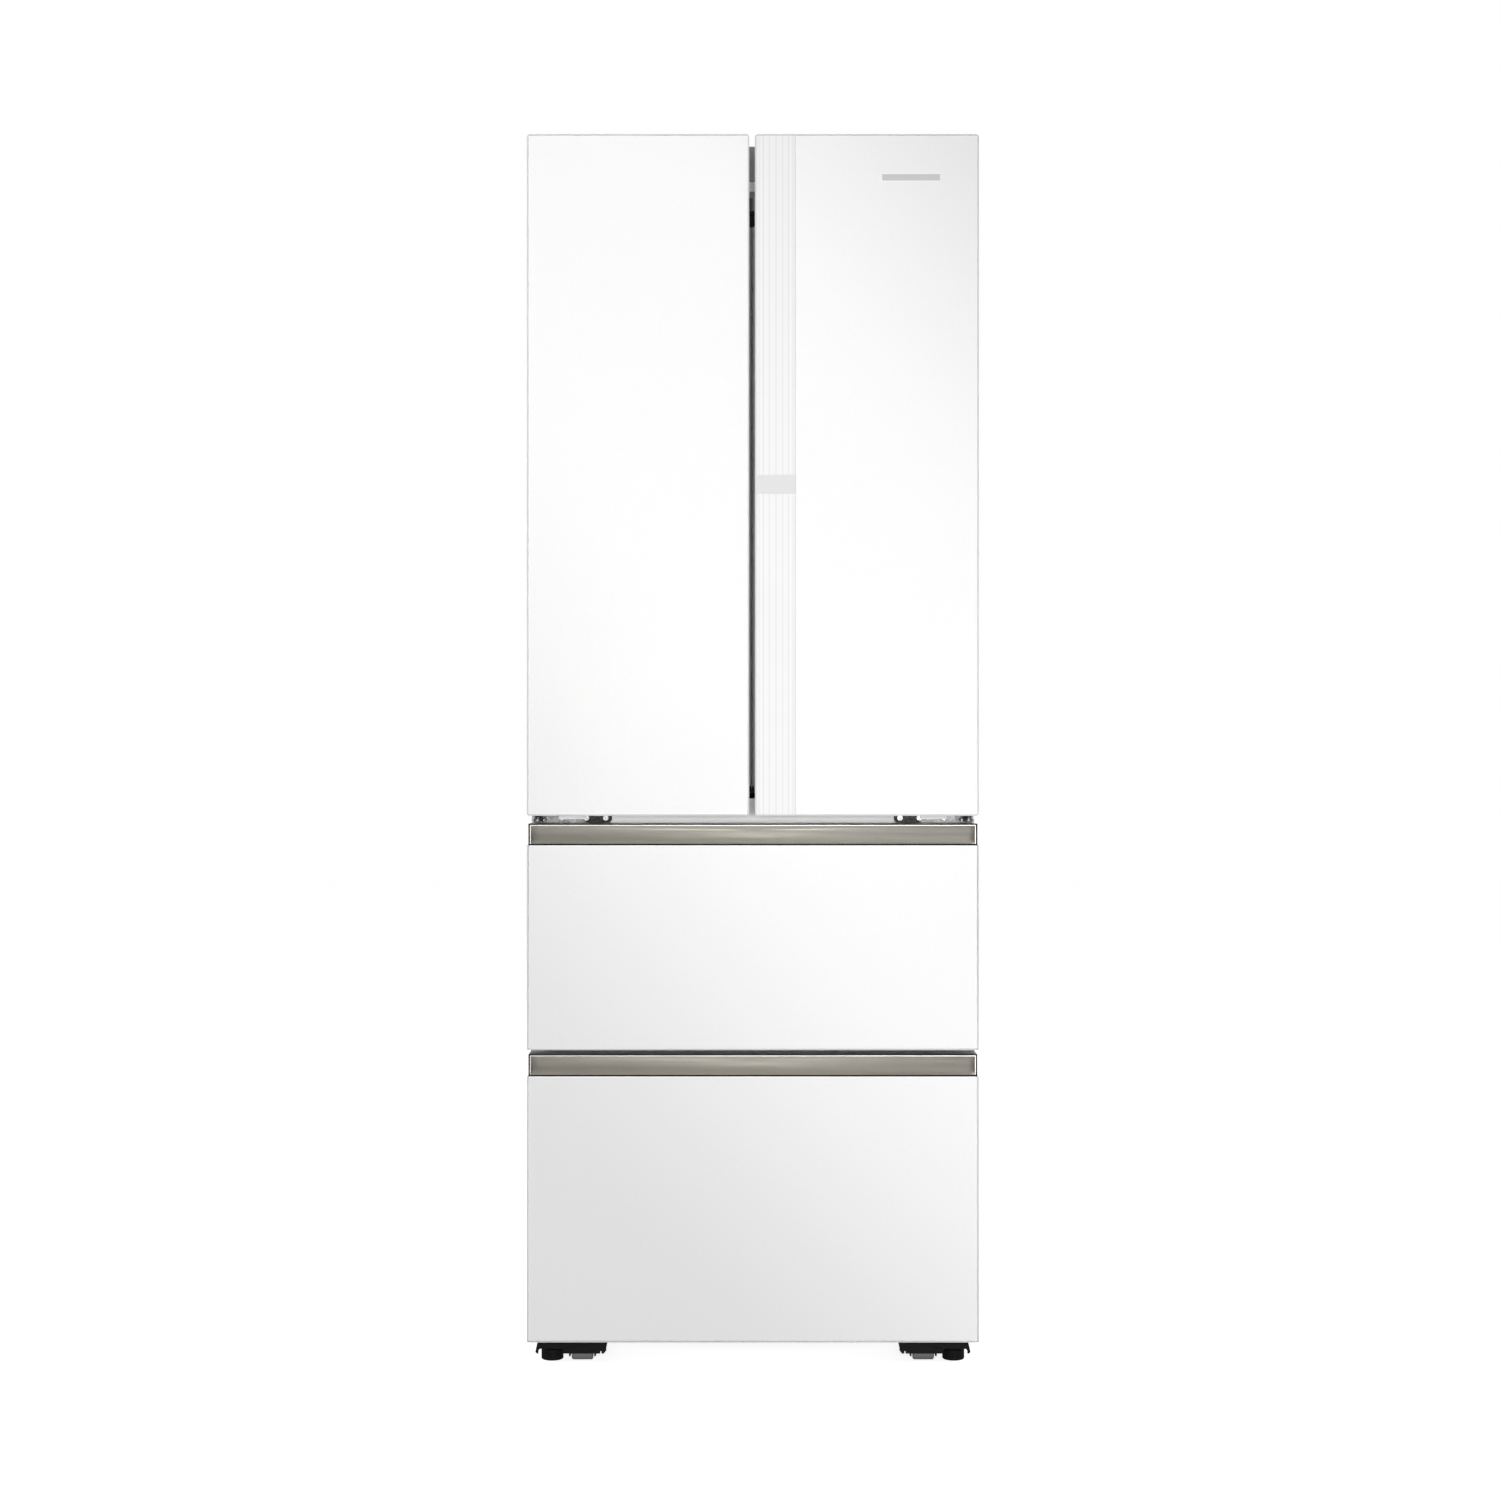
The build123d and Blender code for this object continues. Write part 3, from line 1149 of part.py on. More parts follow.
def make_doors():
    left_x = (-SIDE, LEFT_DOOR_EDGE)
    right_x = (RIGHT_DOOR_EDGE, SIDE)
    for name, side, x in (("left", -1, left_x), ("right", 1, right_x)):
        make_door_frame(f"{name}_door_frame", side, x)
        make_door_core(f"{name}_door_core", side, x)
        make_door_liner(f"{name}_door_liner", side, x)
        make_bin_group(f"{name}_door_bins", side)
    make_left_gasket()
    make_right_gasket()
    make_left_glass()
    make_right_glass()
    make_column()
    make_badges()
    make_beam()
    make_beam_guide()


def make_drawers():
    for name, levels, seal_z in (
        ("middle", MIDDLE_FRONT, MIDDLE_SEAL_Z),
        ("lower", LOWER_FRONT, LOWER_SEAL_Z),
    ):
        make_drawer_frame(f"{name}_drawer_frame", levels)
        make_drawer_core(f"{name}_drawer_core", levels)
        make_drawer_glass(f"{name}_drawer_glass", levels)
        make_handle(f"{name}_drawer_handle", levels)
        make_drawer_gasket(f"{name}_drawer_gasket", seal_z)
    make_middle_tub()
    make_lower_tub()
    make_slides()


def make_cabinet():
    make_wrap()
    make_rear_panel()
    make_foam()
    make_liners()
    make_crossrails()
    make_top_trim()
    make_hinge_brackets()
    make_screws()
    make_shelves()
    make_crispers()
    make_interior_covers()


def make_cooling():
    make_coils()
    make_fan("evaporator_fan", Plane(origin=EVAPORATOR_FAN, z_dir=FORWARD))
    make_fan("condenser_fan", Plane(origin=CONDENSER_FAN, z_dir=RIGHTWARD))
    make_fan_motors()
    make_compressor()
    make_drain_pan()
    make_rear_cover()
    make_inlet()


def make_base():
    make_base_pan()
    make_rear_wheels()
    make_foot_brackets()
    make_roller_axles()
    for name, side in (("left", -1), ("right", 1)):
        make_front_roller(f"front_roller_{name}", side)
        make_levelling_foot(f"levelling_foot_{name}", side)


make_doors()
make_drawers()
make_cabinet()
make_cooling()
make_base()
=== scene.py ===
"""Looks of a french door refrigerator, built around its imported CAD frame, in metres."""

import json
import math

import bmesh
import bpy
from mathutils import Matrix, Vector


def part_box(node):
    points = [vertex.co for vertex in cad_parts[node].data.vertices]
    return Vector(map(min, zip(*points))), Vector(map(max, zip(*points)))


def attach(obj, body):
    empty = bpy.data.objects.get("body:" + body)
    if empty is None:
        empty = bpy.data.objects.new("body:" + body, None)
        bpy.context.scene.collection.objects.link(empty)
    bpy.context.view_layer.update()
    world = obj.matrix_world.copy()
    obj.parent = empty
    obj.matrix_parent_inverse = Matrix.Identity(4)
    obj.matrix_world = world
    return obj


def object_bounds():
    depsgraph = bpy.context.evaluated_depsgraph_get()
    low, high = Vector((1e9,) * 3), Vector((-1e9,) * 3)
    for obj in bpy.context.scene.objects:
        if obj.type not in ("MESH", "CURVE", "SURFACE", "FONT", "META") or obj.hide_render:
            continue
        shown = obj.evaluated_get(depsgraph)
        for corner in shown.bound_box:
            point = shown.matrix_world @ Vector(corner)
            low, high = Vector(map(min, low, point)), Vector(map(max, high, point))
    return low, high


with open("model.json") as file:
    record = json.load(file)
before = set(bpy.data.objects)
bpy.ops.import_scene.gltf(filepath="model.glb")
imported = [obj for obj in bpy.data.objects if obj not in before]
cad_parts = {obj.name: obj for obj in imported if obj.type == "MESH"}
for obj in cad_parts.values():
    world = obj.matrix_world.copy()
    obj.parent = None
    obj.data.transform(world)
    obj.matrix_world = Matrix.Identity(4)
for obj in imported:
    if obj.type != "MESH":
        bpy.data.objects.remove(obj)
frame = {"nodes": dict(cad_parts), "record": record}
cad_low, cad_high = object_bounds()

FRONT = cad_low.y  # the glass faces

# Camera
CAMERA_DISTANCE = 4.0  # from the front plane
CAMERA_HEIGHT = 0.9564
CAMERA_X = -0.0045
FRAME_WIDTH = 2.3225  # width of the picture at the front plane

# Lights, in watts where nothing else is said
DOME = 0.27  # strength of the even white sky
KEY_LIGHT = 15.0
FRONT_LIGHT = 108.0
GRIP_LIGHT = 3.5
GLINT_LIGHT = 0.2
TOP_LIGHT = 18.0
FILLS = {
    "fill_left": ((-4, 0.9, 1.3), 75.0),
    "fill_right": ((4, 0.9, 1.3), 75.0),
    "fill_back": ((1.5, 4.2, 1.7), 26.0),
}

# Floor
FLOOR_SIZE = (30, 16)
FLOOR_REACH = 1.25  # from the origin to its front edge
FLOOR_GAP = 0.0005  # under the feet

# The reflection card and the slanted bright band on it
CARD_DISTANCE = 6.0  # in front of the front plane, beyond the camera
CARD_SIZE = (7, 6.6)
CARD_HEIGHT = 0.9
BAND_SLOPE = 1.357  # how far the band drops for each metre across
BAND_LEVEL = 1.1  # height of its middle line at the card's centre
BAND_ABOVE = 3.4  # half widths of the band, over and under that line
BAND_BELOW = 3.75
CARD_DIM = 0.3
CARD_BRIGHT = 5.7

# Places where a finish changes along a piece
GROOVE_SHADE_Y = (FRONT + 0.0005, FRONT + 0.0009)  # painted shade: the column turns grey in its grooves, between these depths
HINGE_DARK_X = (0.266, 0.262)  # the hinge plates turn dark from here inwards
NAMEPLATE_Z = 1.6  # between the badge and the slim plate above it

# Trim of the drawers' grips: black strips that stand in for the shadow gaps round each grip (painted
# shadow), and a lighter strip that stands in for the highlight on its cut edge (painted highlight)
SHADOW_SEAL_TOP = 0.0019
SHADOW_SEAL_END = 0.0024
HIGHLIGHT_EDGE = 0.0013  # width of the lighter strip that stands in for the highlight on the grip's cut edge (painted highlight)
PROUD = 0.0006  # how far the trim stands out in front of the grip
TRIM_DEPTH = 0.004  # how far it reaches back from the grip's face
LIP_Y = (FRONT + 0.0006, FRONT + 0.0036)  # of the black strip on top of the glass, a painted shadow below the grip
LIP_HEIGHT = 0.0021
TOUCH = 0.0001  # gap that keeps a shadow strip off the grip's top and off the glass
END_GAP = 0.0005  # from the end shadow strips to the grip's back

# Spacers on the plates of the middle hinges
SHIM_X = (0.2635, 0.3055)  # inner and outer ends, from the middle
SHIM_RISE = 0.0055  # from the brackets' lowest point to a spacer's underside
SHIM_HEIGHT = 0.0058
SHIM_DEPTH = 0.006
PLATE = 0.003  # thickness of the hinge plates
SINK = 0.0002  # a shim's depth in its plate, and the gap between a rim and its glass

# Interior trim
SHELF_TOPS = (1.09, 1.295, 1.485, 1.667)
SHELF_GLASS = 0.005
RIM_OUT = 0.004  # how far a rim stands out past the glass
RIM_UNDER = 0.012  # how far it reaches in under the glass, and over it
RIM_OVER = 0.008
RIM_CROWN = 0.0018  # how far it rises over the glass
RIM_SHEET = 0.002
RIM_END = 0.008  # from a shelf's sides to the ends of its rims
BIN_TOPS = (1.044, 1.348, 1.648)
RAIL_INSET = 0.016
RAIL_Z = (-0.013, -0.004)  # a rail's edges, from the top of its bin
RAIL_PROUD = 0.0016
RAIL_BED = 0.0006

# Screws of the rear panel
SCREW_X = (-0.24, -0.12, 0, 0.12, 0.24)
SCREW_MARGIN = 0.096  # from the panel's lower and upper edges
BEAD_DEPTH = 0.0011

# Widths of the rounded edges of CAD nodes
ROUNDED_NODES = {
    "left_door_frame": 0.0007, "right_door_frame": 0.0007,
    "middle_drawer_frame": 0.0006, "lower_drawer_frame": 0.0006,
    "middle_drawer_handle": 0.0006, "lower_drawer_handle": 0.0006,
    "top_trim": 0.0006, "hinge_brackets": 0.0005, "foot_brackets": 0.0005,
    "left_door_glass": 0.0011, "right_door_glass": 0.0006,
    "middle_drawer_glass": 0.0011, "lower_drawer_glass": 0.0011,
}


# ---- Building node materials ------------------------------------------------------


class Finish:
    """A principled material and short ways to add nodes to it."""

    def __init__(self, name, colour, roughness, metallic=0.0):
        self.material = bpy.data.materials.new(name)
        self.material.use_nodes = True
        self.tree = self.material.node_tree
        self.shader = self.tree.nodes["Principled BSDF"]
        self.set("Base Color", (*colour, 1.0))
        self.set("Roughness", roughness)
        self.set("Metallic", metallic)
        self.colour = colour

    def set(self, socket, value):
        """Set one of the shader's own sockets."""
        self.shader.inputs[socket].default_value = value

    def node(self, kind, **settings):
        """Add a node; capitalised settings are sockets and the rest are properties."""
        made = self.tree.nodes.new(kind)
        for key, value in settings.items():
            if key[0].isupper():
                made.inputs[key.replace("_", " ")].default_value = value
            else:
                setattr(made, key, value)
        return made

    def link(self, output, target):
        self.tree.links.new(output, target)

    def place(self, stretch=(1, 1, 1)):
        """Object coordinates, in metres, scaled along each axis."""
        coordinates = self.node("ShaderNodeTexCoord")
        mapping = self.node("ShaderNodeMapping", Scale=stretch)
        self.link(coordinates.outputs["Object"], mapping.inputs["Vector"])
        return mapping.outputs["Vector"]

    def noise(self, scale, detail=2.0, stretch=(1, 1, 1)):
        """Noise with about `scale` features to the metre, from 0 to 1."""
        made = self.node("ShaderNodeTexNoise", Scale=scale, Detail=detail)
        self.link(self.place(stretch), made.inputs["Vector"])
        return made.outputs["Fac"]

    def cells(self, scale):
        """Voronoi cells with about `scale` cells to the metre."""
        made = self.node("ShaderNodeTexVoronoi", feature="F1", Scale=scale)
        self.link(self.place(), made.inputs["Vector"])
        return made

    def fit(self, value, low, high):
        """Stretch the middle of a 0 to 1 value, from 0.3 to 0.7, onto the range from low to high."""
        made = self.node("ShaderNodeMapRange", clamp=True, To_Min=low, To_Max=high)
        made.inputs["From Min"].default_value = 0.3
        made.inputs["From Max"].default_value = 0.7
        self.link(value, made.inputs["Value"])
        return made.outputs["Result"]

    def math(self, operation, first, second):
        """Combine two values, each a socket or a number."""
        made = self.node("ShaderNodeMath", operation=operation)
        for index, value in enumerate((first, second)):
            if hasattr(value, "is_linked"):
                self.link(value, made.inputs[index])
            else:
                made.inputs[index].default_value = value
        return made.outputs["Value"]

    def blend(self, factor, first, second):
        """Mix two colours, each a socket or an RGB value, by a 0 to 1 factor."""
        made = self.node("ShaderNodeMix", data_type="RGBA")
        self.link(factor, made.inputs["Factor"])
        for socket, value in ((made.inputs[6], first), (made.inputs[7], second)):
            if hasattr(value, "is_linked"):
                self.link(value, socket)
            else:
                socket.default_value = (*value, 1.0)
        return made.outputs[2]

    def vary_colour(self, factor, amount):
        """Darken and lighten the base colour by a share of itself."""
        dark = tuple(c * (1 - amount) for c in self.colour)
        light = tuple(min(1.0, c * (1 + amount)) for c in self.colour)
        self.link(self.blend(factor, dark, light), self.shader.inputs["Base Color"])

    def vary_roughness(self, factor, low, high):
        self.link(self.fit(factor, low, high), self.shader.inputs["Roughness"])

    def bump(self, *layers, rounding=0.0):
        """Stack height layers (height, strength, distance in metres), over softly rounded edges."""
        normal = None
        if rounding:
            normal = self.node("ShaderNodeBevel", samples=4, Radius=rounding).outputs["Normal"]
        for height, strength, distance in layers:
            made = self.node("ShaderNodeBump", Strength=strength, Distance=distance)
            self.link(height, made.inputs["Height"])
            if normal is not None:
                self.link(normal, made.inputs["Normal"])
            normal = made.outputs["Normal"]
        self.link(normal, self.shader.inputs["Normal"])

    def edge_mask(self, radius):
        """1 near sharp edges and 0 on flats, from how far a rounded normal leans."""
        rounded = self.node("ShaderNodeBevel", samples=4, Radius=radius)
        geometry = self.node("ShaderNodeNewGeometry")
        lean = self.node("ShaderNodeVectorMath", operation="DOT_PRODUCT")
        self.link(rounded.outputs["Normal"], lean.inputs[0])
        self.link(geometry.outputs["Normal"], lean.inputs[1])
        made = self.node("ShaderNodeMapRange", clamp=True)
        made.inputs["From Min"].default_value = 0.999
        made.inputs["From Max"].default_value = 0.93
        self.link(lean.outputs["Value"], made.inputs["Value"])
        return made.outputs["Result"]


# ---- Finishes, one for each material slot of the record ---------------------------


def panel_glass():
    """Polished glass over white backing, with a fine mineral fleck, faint wiping marks and a painted
    highlight along its edges.
    """
    finish = Finish("panel_glass", (0.785, 0.785, 0.783), 0.05)
    fleck = finish.fit(finish.noise(900, 3), 0.0, 1.0)
    cloud = finish.fit(finish.noise(260, 2), 0.4, 1.0)
    finish.vary_colour(finish.math("MULTIPLY", fleck, cloud), 0.025)
    field = finish.shader.inputs["Base Color"].links[0].from_socket
    # painted highlight: close to the glass's sharp edges the colour turns near white
    painted_edge_highlight = finish.blend(finish.edge_mask(0.003), field, (0.97, 0.97, 0.97))
    finish.link(painted_edge_highlight, finish.shader.inputs["Base Color"])
    finish.vary_roughness(finish.noise(6, 4, (1, 1, 0.4)), 0.035, 0.08)
    finish.set("IOR", 1.5)
    finish.bump((finish.noise(3, 1), 0.02, 0.002))
    return finish.material


def column_finish():
    """White fluted glass strip: bright ribs, with painted shade that turns the grooves soft grey."""
    finish = Finish("column_finish", (0.84, 0.84, 0.84), 0.4)
    finish.set("Specular IOR Level", 0.25)
    depth = finish.node("ShaderNodeSeparateXYZ")
    finish.link(finish.place(), depth.inputs["Vector"])
    # painted shade: deeper than the ribs' faces, the colour turns grey
    groove_shade = finish.node("ShaderNodeMapRange", clamp=True)
    groove_shade.inputs["From Min"].default_value = GROOVE_SHADE_Y[0]
    groove_shade.inputs["From Max"].default_value = GROOVE_SHADE_Y[1]
    finish.link(depth.outputs["Y"], groove_shade.inputs["Value"])
    shade = finish.blend(groove_shade.outputs["Result"], (0.82, 0.82, 0.82), (0.65, 0.65, 0.655))
    finish.link(shade, finish.shader.inputs["Base Color"])
    finish.vary_roughness(finish.noise(40, 3, (1, 1, 0.1)), 0.18, 0.26)
    finish.bump((finish.noise(900, 1, (1, 1, 0.01)), 0.05, 0.0002))
    return finish.material


def moulded(name, colour, roughness, grain=2600, depth=0.12, rounding=0.0006):
    """Moulded plastic: fine spark-eroded grain, slight shade drift and rounded edges."""
    finish = Finish(name, colour, roughness)
    finish.vary_colour(finish.noise(9, 2), 0.02)
    finish.vary_roughness(finish.noise(14, 2), roughness * 0.93, min(1.0, roughness * 1.07))
    finish.bump((finish.noise(grain, 2), depth, 0.0002), rounding=rounding)
    return finish


def painted(name, colour, roughness, peel=260, depth=0.05, rounding=0.001):
    """Sprayed and baked paint: a faint orange-peel surface."""
    finish = Finish(name, colour, roughness)
    finish.vary_colour(finish.noise(4, 3), 0.01)
    finish.vary_roughness(finish.noise(9, 2), roughness * 0.94, roughness * 1.06)
    finish.bump((finish.noise(peel, 1), depth, 0.0006), rounding=rounding)
    return finish


def handle_metal():
    """Champagne anodised aluminium, brushed along its length."""
    finish = Finish("handle_metal", (0.56, 0.54, 0.49), 0.34, 0.75)
    streak = finish.noise(1400, 2, (0.012, 1, 1))
    broad = finish.noise(260, 2, (0.03, 1, 1))
    both = finish.math("MULTIPLY_ADD", streak, 0.6)
    finish.link(broad, both.node.inputs[2])
    finish.vary_colour(finish.fit(streak, 0.0, 1.0), 0.03)
    finish.vary_roughness(streak, 0.3, 0.4)
    finish.set("Anisotropic", 0.6)
    finish.bump((both, 0.05, 0.0002))
    return finish.material


def galvanised():
    """Galvanised sheet with a faint crystal spangle."""
    finish = Finish("zinc_steel", (0.5, 0.515, 0.53), 0.45, 1.0)
    cells = finish.cells(70)
    tone = finish.node("ShaderNodeSeparateColor")
    finish.link(cells.outputs["Color"], tone.inputs["Color"])
    finish.vary_colour(tone.outputs["Red"], 0.06)
    finish.vary_roughness(tone.outputs["Green"], 0.42, 0.49)
    finish.bump((finish.noise(400, 2), 0.05, 0.0003))
    return finish.material


def bright_plate(name, colour, roughness):
    """Bright plated steel with fine stamping marks."""
    finish = Finish(name, colour, roughness, 1.0)
    finish.vary_colour(finish.noise(120, 4), 0.05)
    finish.vary_roughness(finish.noise(300, 3), roughness * 0.7, roughness * 1.6)
    finish.bump((finish.noise(900, 2), 0.05, 0.0002), rounding=0.0004)
    return finish.material


def hinge_plate():
    """Satin zinc on the arms; the inner part, where the plates are bolted down, is near black."""
    finish = Finish("hinge_plate", (0.13, 0.13, 0.13), 0.3, 1.0)
    spread = finish.node("ShaderNodeSeparateXYZ")
    finish.link(finish.place(), spread.inputs["Vector"])
    reach = finish.node("ShaderNodeMath", operation="ABSOLUTE")
    finish.link(spread.outputs["X"], reach.inputs[0])
    inner = finish.node("ShaderNodeMapRange", clamp=True)
    inner.inputs["From Min"].default_value = HINGE_DARK_X[0]
    inner.inputs["From Max"].default_value = HINGE_DARK_X[1]
    finish.link(reach.outputs[0], inner.inputs["Value"])
    cloud = finish.fit(finish.noise(240, 4), 0.0, 1.0)
    zinc = finish.blend(cloud, (0.15, 0.15, 0.15), (0.24, 0.24, 0.238))
    dark = finish.blend(cloud, (0.012, 0.012, 0.012), (0.035, 0.034, 0.033))
    finish.link(finish.blend(inner.outputs["Result"], zinc, dark), finish.shader.inputs["Base Color"])
    finish.vary_roughness(finish.noise(300, 3), 0.24, 0.38)
    finish.bump((finish.noise(900, 2), 0.05, 0.0002), rounding=0.0004)
    return finish.material


def polished_highlight_edge():
    """Diamond-cut aluminium of the grips' cut edges, lighter than the grip to stand in for the highlight
    they catch (painted highlight).
    """
    finish = Finish("polished_highlight_edge", (0.66, 0.64, 0.6), 0.3, 0.35)
    finish.vary_colour(finish.noise(500, 2, (0.05, 1, 1)), 0.04)
    finish.vary_roughness(finish.noise(700, 2, (0.05, 1, 1)), 0.24, 0.36)
    finish.bump((finish.noise(1500, 1, (0.03, 1, 1)), 0.04, 0.0001))
    return finish.material


def blank_plate():
    """Satin silver lacquer; the slim upper plate is a shade darker than the badge."""
    finish = Finish("plate_metal", (0.76, 0.76, 0.76), 0.5)
    finish.set("Specular IOR Level", 0.15)
    height = finish.node("ShaderNodeSeparateXYZ")
    finish.link(finish.place(), height.inputs["Vector"])
    upper = finish.math("GREATER_THAN", height.outputs["Z"], NAMEPLATE_Z)
    grain = finish.fit(finish.noise(1500, 2, (0.05, 1, 1)), 0.0, 0.12)
    shade = finish.math("MAXIMUM", grain, upper)
    tone = finish.blend(shade, (0.76, 0.76, 0.76), (0.57, 0.57, 0.57))
    finish.link(tone, finish.shader.inputs["Base Color"])
    finish.bump((finish.noise(1200, 2, (0.05, 1, 1)), 0.05, 0.0002), rounding=0.0004)
    return finish.material


def black_steel():
    """Black stove enamel, a little worn along its edges."""
    finish = painted("black_steel", (0.004, 0.004, 0.0045), 0.5, peel=500, depth=0.1, rounding=0.0006)
    chips = finish.math("MULTIPLY", finish.edge_mask(0.0008), finish.fit(finish.noise(350, 4), 0.0, 1.0))
    worn = finish.blend(chips, (0.004, 0.004, 0.0045), (0.05, 0.049, 0.047))
    finish.link(worn, finish.shader.inputs["Base Color"])
    finish.set("Specular IOR Level", 0.1)
    return finish.material


def black_plastic():
    """Matt black plastic of the feet, and of the black strips round the grips that stand in for their
    shadow gaps (painted shadow).
    """
    finish = moulded("foot_plastic", (0.004, 0.004, 0.004), 0.6)
    finish.set("Specular IOR Level", 0.12)
    return finish.material


def rubber():
    """Soft grey seal with fine bloom."""
    finish = moulded("gasket_rubber", (0.42, 0.42, 0.42), 0.62, grain=1500, depth=0.1)
    finish.set("Sheen Weight", 0.25)
    return finish.material


def clear_plastic():
    """Clear tinted polystyrene with soft moulding flow."""
    finish = Finish("clear_plastic", (0.9, 0.955, 0.97), 0.12)
    finish.set("Transmission Weight", 0.82)
    finish.set("IOR", 1.3)
    finish.vary_roughness(finish.noise(18, 4), 0.07, 0.2)
    finish.bump((finish.noise(30, 2), 0.03, 0.001))
    return finish.material


def shelf_glass():
    """Clear tempered glass with the green tint of its edges."""
    finish = Finish("shelf_glass", (0.84, 0.95, 0.91), 0.03)
    finish.set("Transmission Weight", 0.95)
    finish.set("IOR", 1.45)
    finish.vary_roughness(finish.noise(12, 4), 0.015, 0.06)
    finish.bump((finish.noise(5, 1), 0.02, 0.001))
    return finish.material


def foam():
    """Foamed insulation: pale yellow, closed cells."""
    finish = Finish("foam", (0.78, 0.68, 0.45), 0.85)
    cells = finish.cells(700)
    finish.vary_colour(cells.outputs["Distance"], 0.12)
    finish.bump((cells.outputs["Distance"], 0.4, 0.001))
    return finish.material


def coil_metal():
    """Bare aluminium fins with slight rolling lines."""
    finish = Finish("coil_aluminium", (0.68, 0.69, 0.7), 0.35, 1.0)
    finish.vary_colour(finish.noise(90, 3), 0.06)
    finish.vary_roughness(finish.noise(600, 2, (1, 1, 0.05)), 0.28, 0.45)
    finish.bump((finish.noise(800, 2, (1, 1, 0.05)), 0.06, 0.0002))
    return finish.material


def white_liner():
    """Vacuum-formed white sheet with a faint orange peel."""
    finish = painted("liner_plastic", (0.84, 0.845, 0.85), 0.25, peel=150, depth=0.015, rounding=0.0)
    return finish.material


def smooth_frame():
    """Light grey moulded rim frames, almost without grain."""
    finish = moulded("frame_plastic", (0.52, 0.52, 0.52), 0.3, grain=400, depth=0.01, rounding=0.0)
    return finish.material


def white_paint():
    """White baked paint of the cabinet's wrap."""
    return painted("white_steel", (0.8, 0.8, 0.8), 0.32, depth=0.015, rounding=0.0).material


FINISHES = {
    "panel_glass": panel_glass(),
    "column_finish": column_finish(),
    "frame_plastic": smooth_frame(),
    "beam_plastic": moulded("beam_plastic", (0.26, 0.26, 0.26), 0.42).material,
    "foot_plastic": black_plastic(),
    "roller_plastic": moulded("roller_plastic", (0.16, 0.16, 0.155), 0.5).material,
    "dark_plastic": moulded("dark_plastic", (0.045, 0.046, 0.05), 0.5).material,
    "liner_plastic": white_liner(),
    "gasket_rubber": rubber(),
    "clear_plastic": clear_plastic(),
    "plate_metal": blank_plate(),
    "handle_metal": handle_metal(),
    "white_steel": white_paint(),
    "zinc_steel": galvanised(),
    "hinge_chrome": bright_plate("hinge_chrome", (0.42, 0.42, 0.42), 0.24),
    "shelf_glass": shelf_glass(),
    "black_steel": black_steel(),
    "coil_aluminium": coil_metal(),
    "motor_steel": bright_plate("motor_steel", (0.5, 0.51, 0.52), 0.35),
    "foam": foam(),
}


HINGE_PLATE = hinge_plate()
POLISHED_HIGHLIGHT_EDGE = polished_highlight_edge()
SHIM_WHITE = moulded("shim_white", (0.95, 0.95, 0.95), 0.4, depth=0.03, rounding=0.0).material


def dress_cad_nodes():
    """Give every CAD node the finish of its material slot."""
    for part in frame["record"]["subparts"]:
        node = frame["nodes"][part["node"]]
        for index in range(max(1, len(node.material_slots))):
            if index < len(node.material_slots):
                node.material_slots[index].material = FINISHES[part["material_slot"]]
            else:
                node.data.materials.append(FINISHES[part["material_slot"]])
    for slot in frame["nodes"]["hinge_brackets"].material_slots:
        slot.material = HINGE_PLATE


# ---- Pieces that the CAD model leaves out -----------------------------------------


class Shape:
    """Points and faces of a piece made of one or more closed solids."""

    def __init__(self):
        self.points = []
        self.faces = []

    def prism(self, outline, ends, axis="x"):
        """Extrude an outline between two ends of an axis; its points are the other two axes in order."""
        first = len(self.points)
        count = len(outline)
        for end in ends:
            for a, b in outline:
                self.points.append({"x": (end, a, b), "y": (a, end, b), "z": (a, b, end)}[axis])
        for i in range(count):
            j = (i + 1) % count
            self.faces.append((first + i, first + j, first + count + j, first + count + i))
        self.faces.append(tuple(first + count + i for i in range(count)))
        self.faces.append(tuple(first + i for i in reversed(range(count))))

    def block(self, x, y, z):
        """A box between two values on each axis."""
        self.prism([(y[0], z[0]), (y[1], z[0]), (y[1], z[1]), (y[0], z[1])], x)

    def turned(self, centre, profile, steps=24):
        """Turn a profile of (radius, height) points round an axis along +y."""
        first = len(self.points)
        for radius, height in profile:
            for step in range(steps):
                angle = 2 * math.pi * step / steps
                x = centre[0] + radius * math.cos(angle)
                z = centre[2] + radius * math.sin(angle)
                self.points.append((x, centre[1] + height, z))
        for ring in range(len(profile) - 1):
            for step in range(steps):
                a = first + ring * steps + step
                b = first + ring * steps + (step + 1) % steps
                self.faces.append((a, b, b + steps, a + steps))
        last = first + (len(profile) - 1) * steps
        self.faces.append(tuple(last + step for step in range(steps)))
        self.faces.append(tuple(first + step for step in reversed(range(steps))))

    def piece(self, name, body, slot, bevel=0.0003, smooth=False, finish=None):
        """Make the object, with rounded edges, and let it ride on a body."""
        mesh = bpy.data.meshes.new(name)
        mesh.from_pydata(self.points, [], self.faces)
        mesh.materials.append(finish or FINISHES[slot])
        working = bmesh.new()
        working.from_mesh(mesh)
        bmesh.ops.recalc_face_normals(working, faces=working.faces)
        working.to_mesh(mesh)
        working.free()
        if smooth:
            mesh.shade_smooth()
            mesh.set_sharp_from_angle(angle=math.radians(35))
        made = bpy.data.objects.new(name, mesh)
        bpy.context.collection.objects.link(made)
        if bevel:
            round_edges(made, bevel)
        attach(made, body)
        return made


def round_edges(target, width, segments=2):
    """Round the sharp edges of a piece or of a CAD node with real geometry."""
    joining = target.modifiers.new("joined faces", "WELD")
    joining.merge_threshold = 0.000001
    rounding = target.modifiers.new("rounded edges", "BEVEL")
    rounding.width = width
    rounding.segments = segments
    rounding.limit_method = "ANGLE"
    rounding.angle_limit = math.radians(40)
    rounding.harden_normals = True


